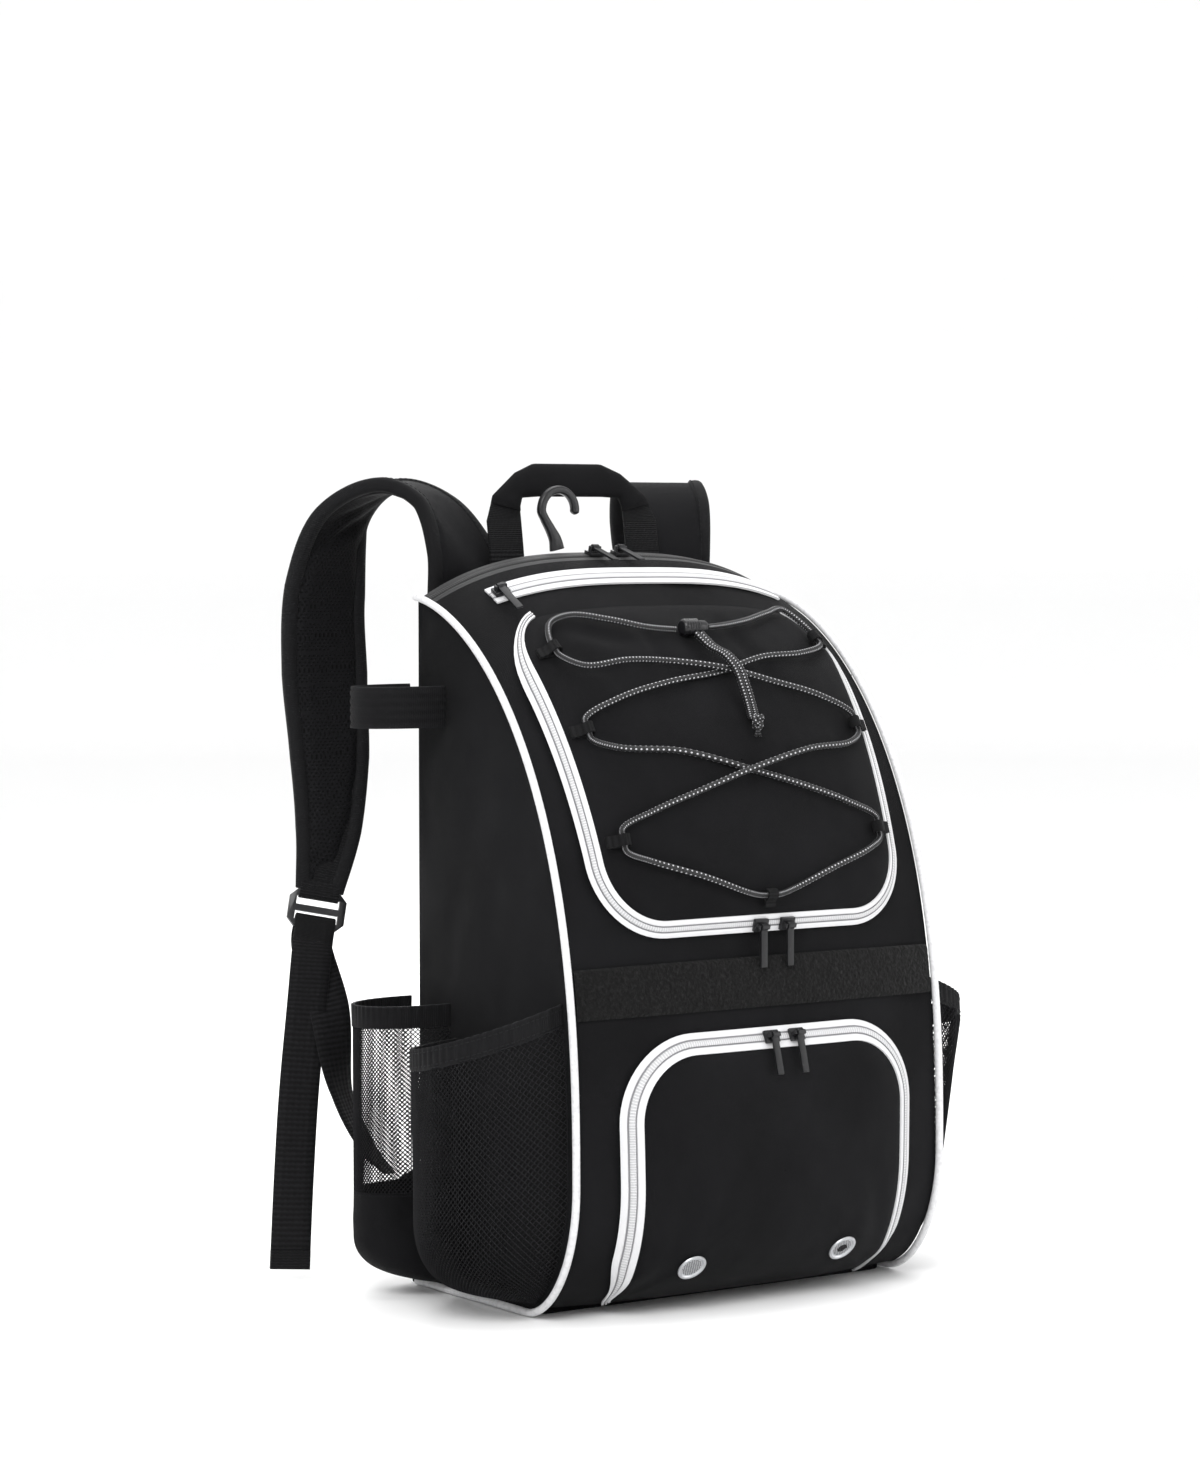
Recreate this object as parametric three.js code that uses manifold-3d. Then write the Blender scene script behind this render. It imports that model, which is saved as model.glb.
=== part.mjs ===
// Baseball bat backpack: a soft bag with two zipped front pockets, a bungee on the upper one,
// bottle pockets and bat sleeves on both sides, a carry handle, a fence hook and shoulder straps.
// Millimetres, +Z up. The bag stands on its base, its front faces -Y and its back faces +Y.
import * as THREE from 'three';
import Module from 'manifold-3d';
import { mergeVertices } from 'three/addons/utils/BufferGeometryUtils.js';

const wasm = await Module();
wasm.setup();

// Body
const BODY_WIDTH = 300;
const BODY_DEPTH = 206;
const SIDE_HEIGHT = 474;
const BELLY_HEIGHT = 93;
const FOOT_DEPTH = 150;
const BASE_THICKNESS = 5;
const CROWN_FRONT = 11;
const CROWN_TOP = 33;
const SIDE_BULGE = 5;
const CLOTH = 2.2;
const BACK_PADDING = 12;
const BACK_CROWN = 5;
const GAP = 0.35;

// Seams, zippers and trim
const PIPING_RADIUS = 2.6;
const MAIN_ZIP_WIDTH = 16;
const TAPE = 1.5;
const TRIM_LIFT = 0.7;
const SLIT_ZIP_HEIGHT = 461;
const SLIT_ZIP_WIDTH = 7;
const SLIT_ZIP_HALF = 120;
const PATCH_BOTTOM = 201;
const PATCH_TOP = 234;
const PATCH_THICKNESS = 1.8;

// Front pockets, as outlines on the front of the bag
const POCKET_RIM = 7;
const POCKET_PEAK = 15;
const UPPER = { topHalf: 128, bottomHalf: 117, top: 446, bottom: 260, topRadius: 26, bottomRadius: 42 };
const UPPER_BAND = 10.5;
const LOWER = { topHalf: 108, bottomHalf: 105, top: 174, bottom: 14, topRadius: 42, bottomRadius: 3 };
const LOWER_BAND = 14;
const LOWER_RIM = 9;
const OUTLINE_STEP = 18;
const VENT_RADIUS = 10.5;
const VENT_THICKNESS = 1.6;
const VENT_HALF_SPACING = 63;
const VENT_HEIGHT = 42;

// Bungee
const CORD_DIAMETER = 4.2;
const LOOP_HALF_LENGTH = 4;
const LOOP_WALL = 1.3;
const LOOP_CLEARANCE = 0.9;
const LOCK_LENGTH = 20;
const LOCK_RADIUS = 6;

// Side pockets, bat sleeves and bat loops
const BOTTLE_POCKET_DEPTH = 75;
const SLACK_POCKET_DEPTH = 52;
const SLACK_POCKET_FOOT = 0.5;
const BOTTLE_POCKET_REAR = 38;
const BOTTLE_POCKET_RIM_REAR = 177;
const BOTTLE_POCKET_RIM_FRONT = 212;
const BOTTLE_POCKET_SEAM = 9;
const MESH = 1.5;
const BINDING_HEIGHT = 15;
const BINDING = 2.6;
const POCKET_FLOOR = 10;
const POCKET_SWELL = 66;
const BAT_DEPTH = 60;
const BAT_FRONT = 44;
const BAT_REAR = 101.5;
const SLEEVE_TOP = 200;
const SLEEVE_FLOOR = 8;
const SLEEVE_SWELL = 42;
const SLEEVE_WALL = 2;
const LOOP_BOTTOM = 387;
const LOOP_TOP = 415;

// Harness: handle, hook, straps
const HARNESS_SHIFT = -8;
const HANDLE_HALF = 72;
const HANDLE_WEBBING = 28;
const HANDLE_TOP = 567;
const HANDLE_FOOT = 462;
const HARNESS_FOOT = 425;
const HANDLE_THICKNESS = 3;
const HANDLE_LEAN = 14;
const HOOK_X = -30;
const HOOK_TOP = 552;
const HOOK_RADIUS = 14;
const HOOK_THICKNESS = 6;
const STRAP_WIDTH = 64;
const STRAP_THICKNESS = 10;
const WEBBING_WIDTH = 28;
const WEBBING = 1.8;
const BUCKLE_WIDTH = 40;
const BUCKLE_HEIGHT = 26;
const BUCKLE_THICKNESS = 4.5;
const ANCHOR_HEIGHT = 66;

// Zipper sliders and pulls
const SLIDER_LENGTH = 11;
const SLIDER_WIDTH = 8.5;
const SLIDER_THICKNESS = 2.6;
const BAIL_HEIGHT = 5.2;
const BAIL_RADIUS = 0.9;
const PULL_WIDTH = 5;
const PULL_LENGTH = 27;
const PULL_THICKNESS = 1.5;
const PULL_CLEARANCE = 0.5;
const PULL_RING_WALL = 1.2;

const HALF_WIDTH = BODY_WIDTH / 2;
const BACK_Y = BODY_DEPTH / 2;
const BACK_FRONT_Y = BACK_Y - BACK_PADDING;
const BACKPACK = new THREE.Group();

const CLOTH_BLACK = { color: 0x17181a, roughness: 0.85, metalness: 0 };
const MESH_BLACK = { color: 0x101112, roughness: 0.9, metalness: 0 };
const WEBBING_BLACK = { color: 0x131314, roughness: 0.75, metalness: 0 };
const TRIM_WHITE = { color: 0xe9eaec, roughness: 0.6, metalness: 0 };
const ZIP_BLACK = { color: 0x0d0d0e, roughness: 0.7, metalness: 0 };
const PLASTIC_BLACK = { color: 0x151516, roughness: 0.35, metalness: 0 };
const PULL_METAL = { color: 0x2a2b2d, roughness: 0.35, metalness: 0.8 };
const VENT_METAL = { color: 0xb9bbbd, roughness: 0.3, metalness: 0.9 };

function addPart(name, geometry, look) {
  const mesh = new THREE.Mesh(geometry, new THREE.MeshStandardMaterial(look));
  mesh.name = name;
  BACKPACK.add(mesh);
  return mesh;
}

const mix = (a, b, t) => a + (b - a) * t;
const clamp = (value, low, high) => Math.min(high, Math.max(low, value));
const smooth = (t) => clamp(t, 0, 1) ** 2 * (3 - 2 * clamp(t, 0, 1));

// Profile of the bag seen from the side: a point (y, z) for each share s, from -1 at the foot
// of the front, over 0 at the belly, to 1 at the top of the back
function profilePoint(s) {
  const phase = Math.abs(s) * Math.PI / 2;
  const reach = Math.cos(phase) ** 1.112;
  if (s >= 0) {
    const rise = (SIDE_HEIGHT - BELLY_HEIGHT) * Math.sin(phase) ** 0.8;
    return new THREE.Vector2(BACK_Y - BODY_DEPTH * reach, BELLY_HEIGHT + rise);
  }
  const inset = FOOT_DEPTH + (BODY_DEPTH - FOOT_DEPTH) * reach;
  return new THREE.Vector2(BACK_Y - inset, BELLY_HEIGHT - (BELLY_HEIGHT - BASE_THICKNESS) * Math.sin(phase));
}

function shareAtHeight(height) {
  if (height >= BELLY_HEIGHT) {
    const rise = clamp((height - BELLY_HEIGHT) / (SIDE_HEIGHT - BELLY_HEIGHT), 0, 1);
    return Math.asin(rise ** 1.25) / (Math.PI / 2);
  }
  const drop = clamp((BELLY_HEIGHT - height) / (BELLY_HEIGHT - BASE_THICKNESS), 0, 1);
  return -Math.asin(drop) / (Math.PI / 2);
}

function shareAtDepth(y) {
  return Math.acos(clamp((BACK_Y - y) / BODY_DEPTH, 0, 1) ** (1 / 1.112)) / (Math.PI / 2);
}

function profileNormal(s) {
  const step = 1e-3;
  const tangent = profilePoint(Math.min(1, s + step)).sub(profilePoint(Math.max(-1, s - step))).normalize();
  return new THREE.Vector2(-tangent.y, tangent.x);
}

// The front is crowned between its two side seams, most at the top
function crown(x, s) {
  const top = Math.sin(Math.max(0, s) * Math.PI / 2) ** 4;
  const foot = Math.cos(Math.min(0, s) * Math.PI / 2) ** 0.7;
  const rise = CROWN_FRONT * foot + (CROWN_TOP - CROWN_FRONT) * top;
  return rise * (1 - Math.min(1, Math.abs(x) / HALF_WIDTH) ** 3);
}

function frontAtShare(x, s, lift) {
  const out = profileNormal(s).multiplyScalar(crown(x, s) + lift);
  const point = profilePoint(s).add(out);
  return new THREE.Vector3(x, point.x, point.y);
}

const frontPoint = (x, height, lift) => frontAtShare(x, shareAtHeight(height), lift);

function frontNormal(x, s) {
  const step = 2e-3;
  const along = frontAtShare(x + 1, s, 0).sub(frontAtShare(x - 1, s, 0));
  const up = frontAtShare(x, Math.min(1, s + step), 0).sub(frontAtShare(x, Math.max(-1, s - step), 0));
  return along.cross(up).normalize();
}

// Height over the front panel's surface at which a mesh is met from outside, and its normal there
const LOOK_FROM = 60;
const caster = new THREE.Raycaster();

function meet(mesh, x, share) {
  const origin = frontAtShare(x, share, LOOK_FROM);
  caster.set(origin, frontAtShare(x, share, 0).sub(origin).normalize());
  const [hit] = caster.intersectObject(mesh);
  return hit ? { lift: LOOK_FROM - hit.distance, normal: hit.face.normal } : { lift: 0, normal: frontNormal(x, share) };
}

const liftOn = (mesh, x, height) => meet(mesh, x, shareAtHeight(height)).lift;

function archHeight(x) {
  return SIDE_HEIGHT + CROWN_TOP * (1 - Math.min(1, Math.abs(x) / HALF_WIDTH) ** 3);
}

// Side panel surface: distance from the middle plane at a place on the side
function sideReach(y, z) {
  const front = profilePoint(shareAtHeight(clamp(z, BASE_THICKNESS, SIDE_HEIGHT))).x;
  const along = clamp((y - front) / (BACK_FRONT_Y - front), 0, 1);
  const up = clamp((z - BASE_THICKNESS) / (SIDE_HEIGHT - BASE_THICKNESS), 0, 1);
  return HALF_WIDTH + SIDE_BULGE * Math.sin(Math.PI * along) * Math.sin(Math.PI * up) ** 0.6;
}

function backReach(x, z) {
  const across = 1 - Math.min(1, Math.abs(x) / HALF_WIDTH) ** 4;
  const up = Math.sin(Math.PI * clamp((z - BASE_THICKNESS) / (HARNESS_FOOT - BASE_THICKNESS), 0, 1)) ** 0.5;
  return BACK_Y + BACK_CROWN * across * up;
}

// Closed wall between an outer and an inner surface over a grid of shares u and v
function wall(stepsU, stepsV, outer, inner, ring = false) {
  const columns = ring ? stepsU : stepsU + 1;
  const points = [];
  for (const surface of [outer, inner]) {
    for (let j = 0; j <= stepsV; j += 1) {
      for (let i = 0; i < columns; i += 1) points.push(surface(i / stepsU, j / stepsV));
    }
  }
  const layer = columns * (stepsV + 1);
  const at = (side, i, j) => side * layer + j * columns + (i % columns);
  const faces = [];
  const quad = (a, b, c, d) => faces.push(a, b, c, a, c, d);
  for (let j = 0; j < stepsV; j += 1) {
    for (let i = 0; i < stepsU; i += 1) {
      quad(at(0, i, j), at(0, i + 1, j), at(0, i + 1, j + 1), at(0, i, j + 1));
      quad(at(1, i, j), at(1, i, j + 1), at(1, i + 1, j + 1), at(1, i + 1, j));
    }
    if (!ring) {
      quad(at(0, 0, j), at(0, 0, j + 1), at(1, 0, j + 1), at(1, 0, j));
      quad(at(0, stepsU, j), at(1, stepsU, j), at(1, stepsU, j + 1), at(0, stepsU, j + 1));
    }
  }
  for (let i = 0; i < stepsU; i += 1) {
    quad(at(0, i, 0), at(1, i, 0), at(1, i + 1, 0), at(0, i + 1, 0));
    quad(at(0, i, stepsV), at(0, i + 1, stepsV), at(1, i + 1, stepsV), at(1, i, stepsV));
  }
  return solid(points, faces);
}

function solid(points, faces) {
  const geometry = new THREE.BufferGeometry();
  geometry.setAttribute('position', new THREE.Float32BufferAttribute(points.flatMap((p) => p.toArray()), 3));
  geometry.setIndex(volume(points, faces) < 0 ? flipped(faces) : faces);
  geometry.computeVertexNormals();
  return geometry;
}

function volume(points, faces) {
  let sum = 0;
  for (let i = 0; i < faces.length; i += 3) {
    const [a, b, c] = [points[faces[i]], points[faces[i + 1]], points[faces[i + 2]]];
    sum += a.dot(b.clone().cross(c));
  }
  return sum;
}

function flipped(faces) {
  const turned = [];
  for (let i = 0; i < faces.length; i += 3) turned.push(faces[i], faces[i + 2], faces[i + 1]);
  return turned;
}

// Solid swept through rings of equal point counts, closed by flat ends
function loft(rings) {
  const count = rings[0].length;
  const points = rings.flat();
  const faces = [];
  for (let j = 0; j < rings.length - 1; j += 1) {
    for (let i = 0; i < count; i += 1) {
      const a = j * count + i;
      const b = j * count + (i + 1) % count;
      faces.push(a, b, b + count, a, b + count, a + count);
    }
  }
  const last = (rings.length - 1) * count;
  for (let i = 1; i < count - 1; i += 1) {
    faces.push(0, i + 1, i, last, last + i, last + i + 1);
  }
  return solid(points, faces);
}

// A smooth route whose equal shares fall on its points, so a cord keeps straight where they lie in line
class Route extends THREE.CatmullRomCurve3 {
  getPointAt(share, target) {
    return this.getPoint(share, target);
  }

  getTangentAt(share, target) {
    return this.getTangent(share, target);
  }
}

// Round cord along a list of points, with a number of steps between each two
function tube(points, radius, sides, stepsEach) {
  const path = new Route(points, false, 'centripetal');
  const steps = (points.length - 1) * stepsEach;
  const section = new THREE.Shape();
  section.absarc(0, 0, radius, 0, Math.PI * 2, false);
  const outline = new THREE.Shape(section.getSpacedPoints(sides).slice(0, sides));
  return new THREE.ExtrudeGeometry(outline, { steps, extrudePath: path, curveSegments: 1 });
}

// Boolean joins and cuts of closed meshes
function toManifold(geometry, matrix) {
  const bare = geometry.clone();
  bare.deleteAttribute('normal');
  bare.deleteAttribute('uv');
  if (matrix) bare.applyMatrix4(matrix);
  const merged = mergeVertices(bare, 1e-3);
  return new wasm.Manifold(new wasm.Mesh({
    numProp: 3,
    vertProperties: new Float32Array(merged.attributes.position.array),
    triVerts: new Uint32Array(merged.index.array),
  }));
}

function fromManifold(body) {
  const mesh = body.getMesh();
  const geometry = new THREE.BufferGeometry();
  geometry.setAttribute('position', new THREE.BufferAttribute(new Float32Array(mesh.vertProperties), 3));
  geometry.setIndex(new THREE.BufferAttribute(new Uint32Array(mesh.triVerts), 1));
  geometry.computeVertexNormals();
  return geometry;
}

const joined = (...bodies) => fromManifold(bodies.reduce((all, body) => all.add(body)));
const moved = (x, y, z) => new THREE.Matrix4().makeTranslation(x, y, z);

// Shares s that split a stretch of the profile into steps of equal length
function evenShares(from, to, steps) {
  const samples = 400;
  const lengths = [0];
  let previous = profilePoint(from);
  for (let i = 1; i <= samples; i += 1) {
    const next = profilePoint(mix(from, to, i / samples));
    lengths.push(lengths[i - 1] + next.distanceTo(previous));
    previous = next;
  }
  const shares = [];
  let k = 0;
  for (let j = 0; j <= steps; j += 1) {
    const goal = lengths[samples] * j / steps;
    while (k < samples - 1 && lengths[k + 1] < goal) k += 1;
    const part = (goal - lengths[k]) / (lengths[k + 1] - lengths[k]);
    shares.push(mix(from, to, (k + part) / samples));
  }
  return shares;
}

// Panels of the body
const PANEL_HALF = HALF_WIDTH - CLOTH - GAP;
const ZIP_REAR_Y = BACK_FRONT_Y - GAP;
const FRONT_END_SHARE = shareAtDepth(ZIP_REAR_Y - MAIN_ZIP_WIDTH - GAP);

function makeFrontPanel() {
  const rows = 20;
  const shares = evenShares(-1, FRONT_END_SHARE, rows);
  const surface = (lift) => (u, v) => frontAtShare(mix(-PANEL_HALF, PANEL_HALF, u), shares[Math.round(v * rows)], lift);
  return wall(12, rows, surface(0), surface(-CLOTH));
}

function makeSidePanel(side) {
  const rows = 14;
  const topShare = shareAtDepth(BACK_FRONT_Y - 6);
  const shares = evenShares(-1, topShare, rows);
  const surface = (inset) => (u, v) => {
    const edge = profilePoint(shares[Math.round(v * rows)]);
    const y = mix(edge.x, BACK_FRONT_Y - GAP, u);
    return new THREE.Vector3(side * (sideReach(y, edge.y) - inset), y, edge.y);
  };
  return wall(5, rows, surface(0), surface(CLOTH));
}

function makeBackPanel() {
  const columns = 10;
  const low = BASE_THICKNESS + GAP;
  const place = (u, v) => {
    const x = mix(-HALF_WIDTH, HALF_WIDTH, u);
    return [x, mix(low, archHeight(x), v)];
  };
  const outer = (u, v) => {
    const [x, z] = place(u, v);
    return new THREE.Vector3(x, backReach(x, z), z);
  };
  const inner = (u, v) => {
    const [x, z] = place(u, v);
    return new THREE.Vector3(x, BACK_FRONT_Y, z);
  };
  return wall(columns, 7, outer, inner);
}

function makeBasePanel() {
  const half = HALF_WIDTH - 1;
  const front = BACK_Y - FOOT_DEPTH;
  const corner = 12;
  const outline = new THREE.Shape();
  outline.moveTo(-half, BACK_Y);
  outline.lineTo(-half, front + corner);
  outline.quadraticCurveTo(-half, front, -half + corner, front);
  outline.lineTo(half - corner, front);
  outline.quadraticCurveTo(half, front, half, front + corner);
  outline.lineTo(half, BACK_Y);
  return new THREE.ExtrudeGeometry(outline, { depth: BASE_THICKNESS - GAP, bevelEnabled: false, curveSegments: 3 });
}

// Piping: a cord in the seam between the front and each side, on down the foot and along the base
function makePiping(side) {
  const away = (PIPING_RADIUS + GAP) * Math.SQRT1_2;
  const points = evenShares(-1, shareAtDepth(ZIP_REAR_Y), 30).reverse().map((s) => {
    const seam = profilePoint(s);
    const normal = profileNormal(s).multiplyScalar(away);
    return new THREE.Vector3(side * (HALF_WIDTH + away), seam.x + normal.x, seam.y + normal.y);
  });
  const last = points[points.length - 1];
  const floorZ = Math.max(last.z, PIPING_RADIUS + GAP);
  for (const share of [0.33, 0.67, 1]) {
    points.push(new THREE.Vector3(last.x, mix(last.y, BACK_FRONT_Y, share), floorZ));
  }
  return tube(points, PIPING_RADIUS, 6, 1);
}

// Main zipper over the top, between the front panel and the back panel
function makeMainZipper() {
  const front = shareAtDepth(ZIP_REAR_Y - MAIN_ZIP_WIDTH);
  const rear = shareAtDepth(ZIP_REAR_Y);
  const surface = (lift) => (u, v) => frontAtShare(mix(-PANEL_HALF, PANEL_HALF, u), mix(front, rear, v), lift);
  return wall(20, 1, surface(0), surface(-TAPE));
}

// A strip that lies across the front between two heights
function makeFrontStrip(half, low, high, thickness, columns) {
  const surface = (lift) => (u, v) => frontPoint(mix(-half, half, u), mix(low, high, v), lift);
  return wall(columns, 1, surface(TRIM_LIFT + thickness), surface(TRIM_LIFT));
}

// Pocket outline: a trapezoid with round corners as a ring of points, from the middle of the
// bottom edge round to the left, over the top and back down the right
function pocketOutline(shape) {
  const slant = (shape.topHalf - shape.bottomHalf) / (shape.top - shape.bottom);
  const right = [];
  const line = (x0, z0, x1, z1, steps) => {
    for (let i = 0; i < steps; i += 1) right.push(new THREE.Vector2(mix(x0, x1, i / steps), mix(z0, z1, i / steps)));
  };
  const corner = (cx, cz, radius, from, to, steps) => {
    for (let i = 0; i < steps; i += 1) {
      const angle = mix(from, to, i / steps);
      right.push(new THREE.Vector2(cx + radius * Math.cos(angle), cz + radius * Math.sin(angle)));
    }
  };
  const { top, bottom, topRadius, bottomRadius } = shape;
  const lowX = shape.bottomHalf + slant * bottomRadius;
  const highX = shape.topHalf - slant * topRadius;
  line(0, bottom, lowX - bottomRadius, bottom, 3);
  corner(lowX - bottomRadius, bottom + bottomRadius, bottomRadius, -Math.PI / 2, 0, 4);
  const sideLength = top - topRadius - bottom - bottomRadius;
  line(lowX, bottom + bottomRadius, highX, top - topRadius, Math.round(sideLength / OUTLINE_STEP));
  corner(highX - topRadius, top - topRadius, topRadius, 0, Math.PI / 2, 4);
  line(highX - topRadius, top, 0, top, 3);
  right.push(new THREE.Vector2(0, top));
  const left = right.slice(1, -1).reverse().map((p) => new THREE.Vector2(-p.x, p.y));
  return [...right, ...left];
}

// The outline moved outwards by a distance that may change along it
function offsetOutline(outline, distance) {
  return outline.map((point, i) => {
    const before = outline[(i + outline.length - 1) % outline.length];
    const after = outline[(i + 1) % outline.length];
    const along = after.clone().sub(before).normalize();
    return point.clone().add(new THREE.Vector2(along.y, -along.x).multiplyScalar(distance(i, point)));
  });
}

function pocket(shape, rim, band, sewnAtTop) {
  const outline = pocketOutline(shape);
  const height = shape.top - shape.bottom;
  const centre = new THREE.Vector2(0, mix(shape.bottom, shape.top, 0.5));
  const sewnDistance = (point) => (sewnAtTop ? shape.top - point.y : point.y - shape.bottom);
  const rimLift = (point) => mix(TRIM_LIFT + CLOTH, rim, smooth(sewnDistance(point) / (height * 0.14)));
  const bandWidth = (i, point) => mix(0.35, 1, smooth(sewnDistance(point) / (height * 0.2))) * band;
  const liftAt = (point, edge, share) => mix(rimLift(edge), POCKET_PEAK, 1 - share ** 2.6);
  return { outline, centre, rim, rimLift, bandWidth, liftAt, sewnDistance };
}

const UPPER_POCKET = pocket(UPPER, POCKET_RIM, UPPER_BAND, true);
const LOWER_POCKET = pocket(LOWER, LOWER_RIM, LOWER_BAND, false);

function makePocketFace(shape) {
  const rings = [0.45, 0.78, 1];
  const count = shape.outline.length;
  const points = [];
  const layers = [0, CLOTH];
  for (const drop of layers) {
    points.push(frontPoint(shape.centre.x, shape.centre.y, POCKET_PEAK - drop));
    for (const share of rings) {
      for (const edge of shape.outline) {
        const place = shape.centre.clone().lerp(edge, share);
        points.push(frontPoint(place.x, place.y, shape.liftAt(place, edge, share) - drop));
      }
    }
  }
  const layer = 1 + rings.length * count;
  const at = (side, ring, i) => side * layer + 1 + ring * count + (i % count);
  const faces = [];
  for (let i = 0; i < count; i += 1) {
    faces.push(0, at(0, 0, i), at(0, 0, i + 1), layer, at(1, 0, i + 1), at(1, 0, i));
    for (let ring = 0; ring < rings.length - 1; ring += 1) {
      const [a, b, c, d] = [at(0, ring, i), at(0, ring + 1, i), at(0, ring + 1, i + 1), at(0, ring, i + 1)];
      faces.push(a, b, c, a, c, d);
      const [e, f, g, h] = [at(1, ring, i), at(1, ring + 1, i), at(1, ring + 1, i + 1), at(1, ring, i + 1)];
      faces.push(e, g, f, e, h, g);
    }
    const last = rings.length - 1;
    const [a, b, c, d] = [at(0, last, i), at(0, last, i + 1), at(1, last, i + 1), at(1, last, i)];
    faces.push(a, d, c, a, c, b);
  }
  return solid(points, faces);
}

// Zipper band: slopes from the front panel up to the pocket's rim, all round except the sewn edge
function makePocketZipper(shape) {
  const inside = offsetOutline(shape.outline, () => GAP);
  const outside = offsetOutline(shape.outline, shape.bandWidth);
  const keep = [];
  const count = shape.outline.length;
  const start = shape.outline.findIndex((p, i) => shape.sewnDistance(p) < 0.5
    && shape.sewnDistance(shape.outline[(i + 1) % count]) >= 0.5);
  for (let i = 0; i < count; i += 1) {
    const index = (start + i) % count;
    keep.push(index);
    if (i > 1 && shape.sewnDistance(shape.outline[index]) < 0.5) break;
  }
  const steps = keep.length - 1;
  const surface = (drop) => (u, v) => {
    const i = keep[Math.round(u * steps)];
    const place = outside[i].clone().lerp(inside[i], v);
    const foot = TRIM_LIFT + TAPE;
    return frontPoint(place.x, place.y, mix(foot, shape.rimLift(shape.outline[i]), v ** 0.8) - drop);
  };
  return wall(steps, 2, surface(0), surface(TAPE));
}

// A disc that lies on the lower pocket's face
function makeVent(side) {
  const x = side * VENT_HALF_SPACING;
  const share = shareAtHeight(VENT_HEIGHT);
  const { lift, normal } = meet(LOWER_FACE, x, share);
  const middle = frontAtShare(x, share, lift).addScaledVector(normal, GAP);
  const profile = [
    [0, 0], [VENT_RADIUS, 0], [VENT_RADIUS, VENT_THICKNESS * 0.5], [VENT_RADIUS * 0.85, VENT_THICKNESS],
    [VENT_RADIUS * 0.55, VENT_THICKNESS * 0.7], [0, VENT_THICKNESS * 0.7],
  ].map(([radius, rise]) => new THREE.Vector2(radius, rise));
  const disc = new THREE.LatheGeometry(profile, 12);
  const turn = new THREE.Quaternion().setFromUnitVectors(new THREE.Vector3(0, 1, 0), normal);
  disc.applyMatrix4(new THREE.Matrix4().compose(middle, turn, new THREE.Vector3(1, 1, 1)));
  return fromManifold(toManifold(disc));
}

// Bungee. The route's points are (x, height) on the upper pocket's face. It runs from the cord
// lock through the loops, crosses itself twice and comes back to the lock
const CORD_ROUTE = [
  [-14, 427, 0], [-36, 429, 0], [-62, 435, 0], [-86, 440, 0], [-103, 438, 0], ['left_top', 1],
  [-98, 411, 0], [-66, 411, 0], [-34, 409, 0], [5, 403, 1], [44, 396, 0], [82, 389, 0], ['right_middle', 1],
  [98, 362, 0], [58, 357, 0], [5, 346, 1], [-42, 335, 0], [-82, 325, 0], ['left_low', 1],
  [-90, 296, 0], [-50, 284, 0], [-16, 273, 0], ['bottom', 1], [22, 274, 0], [56, 285, 0], [92, 296, 0],
  ['right_low', -1], [82, 325, 0], [44, 335, 0], [5, 346, -1], [-50, 358, 0], [-96, 364, 0], ['left_middle', -1],
  [-82, 391, 0], [-42, 397, 0], [5, 403, -1], [44, 410, 0], [84, 414, 0], ['right_top', -1],
  [98, 443, 0], [76, 438, 0], [50, 432, 0], [28, 429, 0], [14, 428, 0],
];
const SEAT_GAP = 0.55;
const CORD_SEAT = CORD_DIAMETER / 2 + LOOP_WALL + LOOP_CLEARANCE + SEAT_GAP;
const CROSSING_LIFT = CORD_DIAMETER * 0.5 + 0.4;

const onPocket = (x, height, lift) => frontPoint(x, height, liftOn(UPPER_FACE, x, height) + lift);

function cordPoints() {
  return CORD_ROUTE.flatMap(([x, height, over]) => {
    if (typeof x === 'number') return [onPocket(x, height, CORD_SEAT + over * CROSSING_LIFT)];
    const { centre, along } = loopFrame(LOOPS.find((loop) => loop.name === x));
    return [-1, 0, 1].map((step) => centre.clone().addScaledVector(along, -step * height * LOOP_REACH));
  });
}

// Eye with a tail, seen from the side: a ring round a cord or bar, and a strip that leaves it
// between two heights
function eyeShape(inner, outer, tail, low, high) {
  const shape = new THREE.Shape();
  const sides = 7;
  const [from, to] = [Math.asin(high / outer), Math.PI * 2 + Math.asin(low / outer)];
  for (let i = 0; i <= sides; i += 1) {
    const angle = mix(from, to, i / sides);
    const [x, y] = [outer * Math.cos(angle), outer * Math.sin(angle)];
    if (i) shape.lineTo(x, y);
    else shape.moveTo(x, y);
  }
  shape.lineTo(tail, low);
  shape.lineTo(tail, high);
  const ring = new THREE.Path().absarc(0, 0, inner, 0, Math.PI * 2, true).getSpacedPoints(sides).slice(0, sides);
  shape.holes.push(new THREE.Path(ring));
  return shape;
}

// Cord loops: webbing folded round the cord and sewn into the pocket's edge
const LOOPS = [
  { name: 'left_top', x: -111, height: 424, towards: [-1, 0] },
  { name: 'left_middle', x: -111.5, height: 377, towards: [-1, 0] },
  { name: 'left_low', x: -106, height: 310, towards: [-1, 0] },
  { name: 'right_top', x: 111, height: 427, towards: [1, 0] },
  { name: 'right_middle', x: 111.5, height: 375, towards: [1, 0] },
  { name: 'right_low', x: 106, height: 310, towards: [1, 0] },
  { name: 'bottom', x: 2, height: 271, towards: [0, -1] },
];
const LOOP_TAIL = 12;
const LOOP_TAIL_BOTTOM = 8;
const LOOP_REACH = LOOP_HALF_LENGTH + 3.5;

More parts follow.
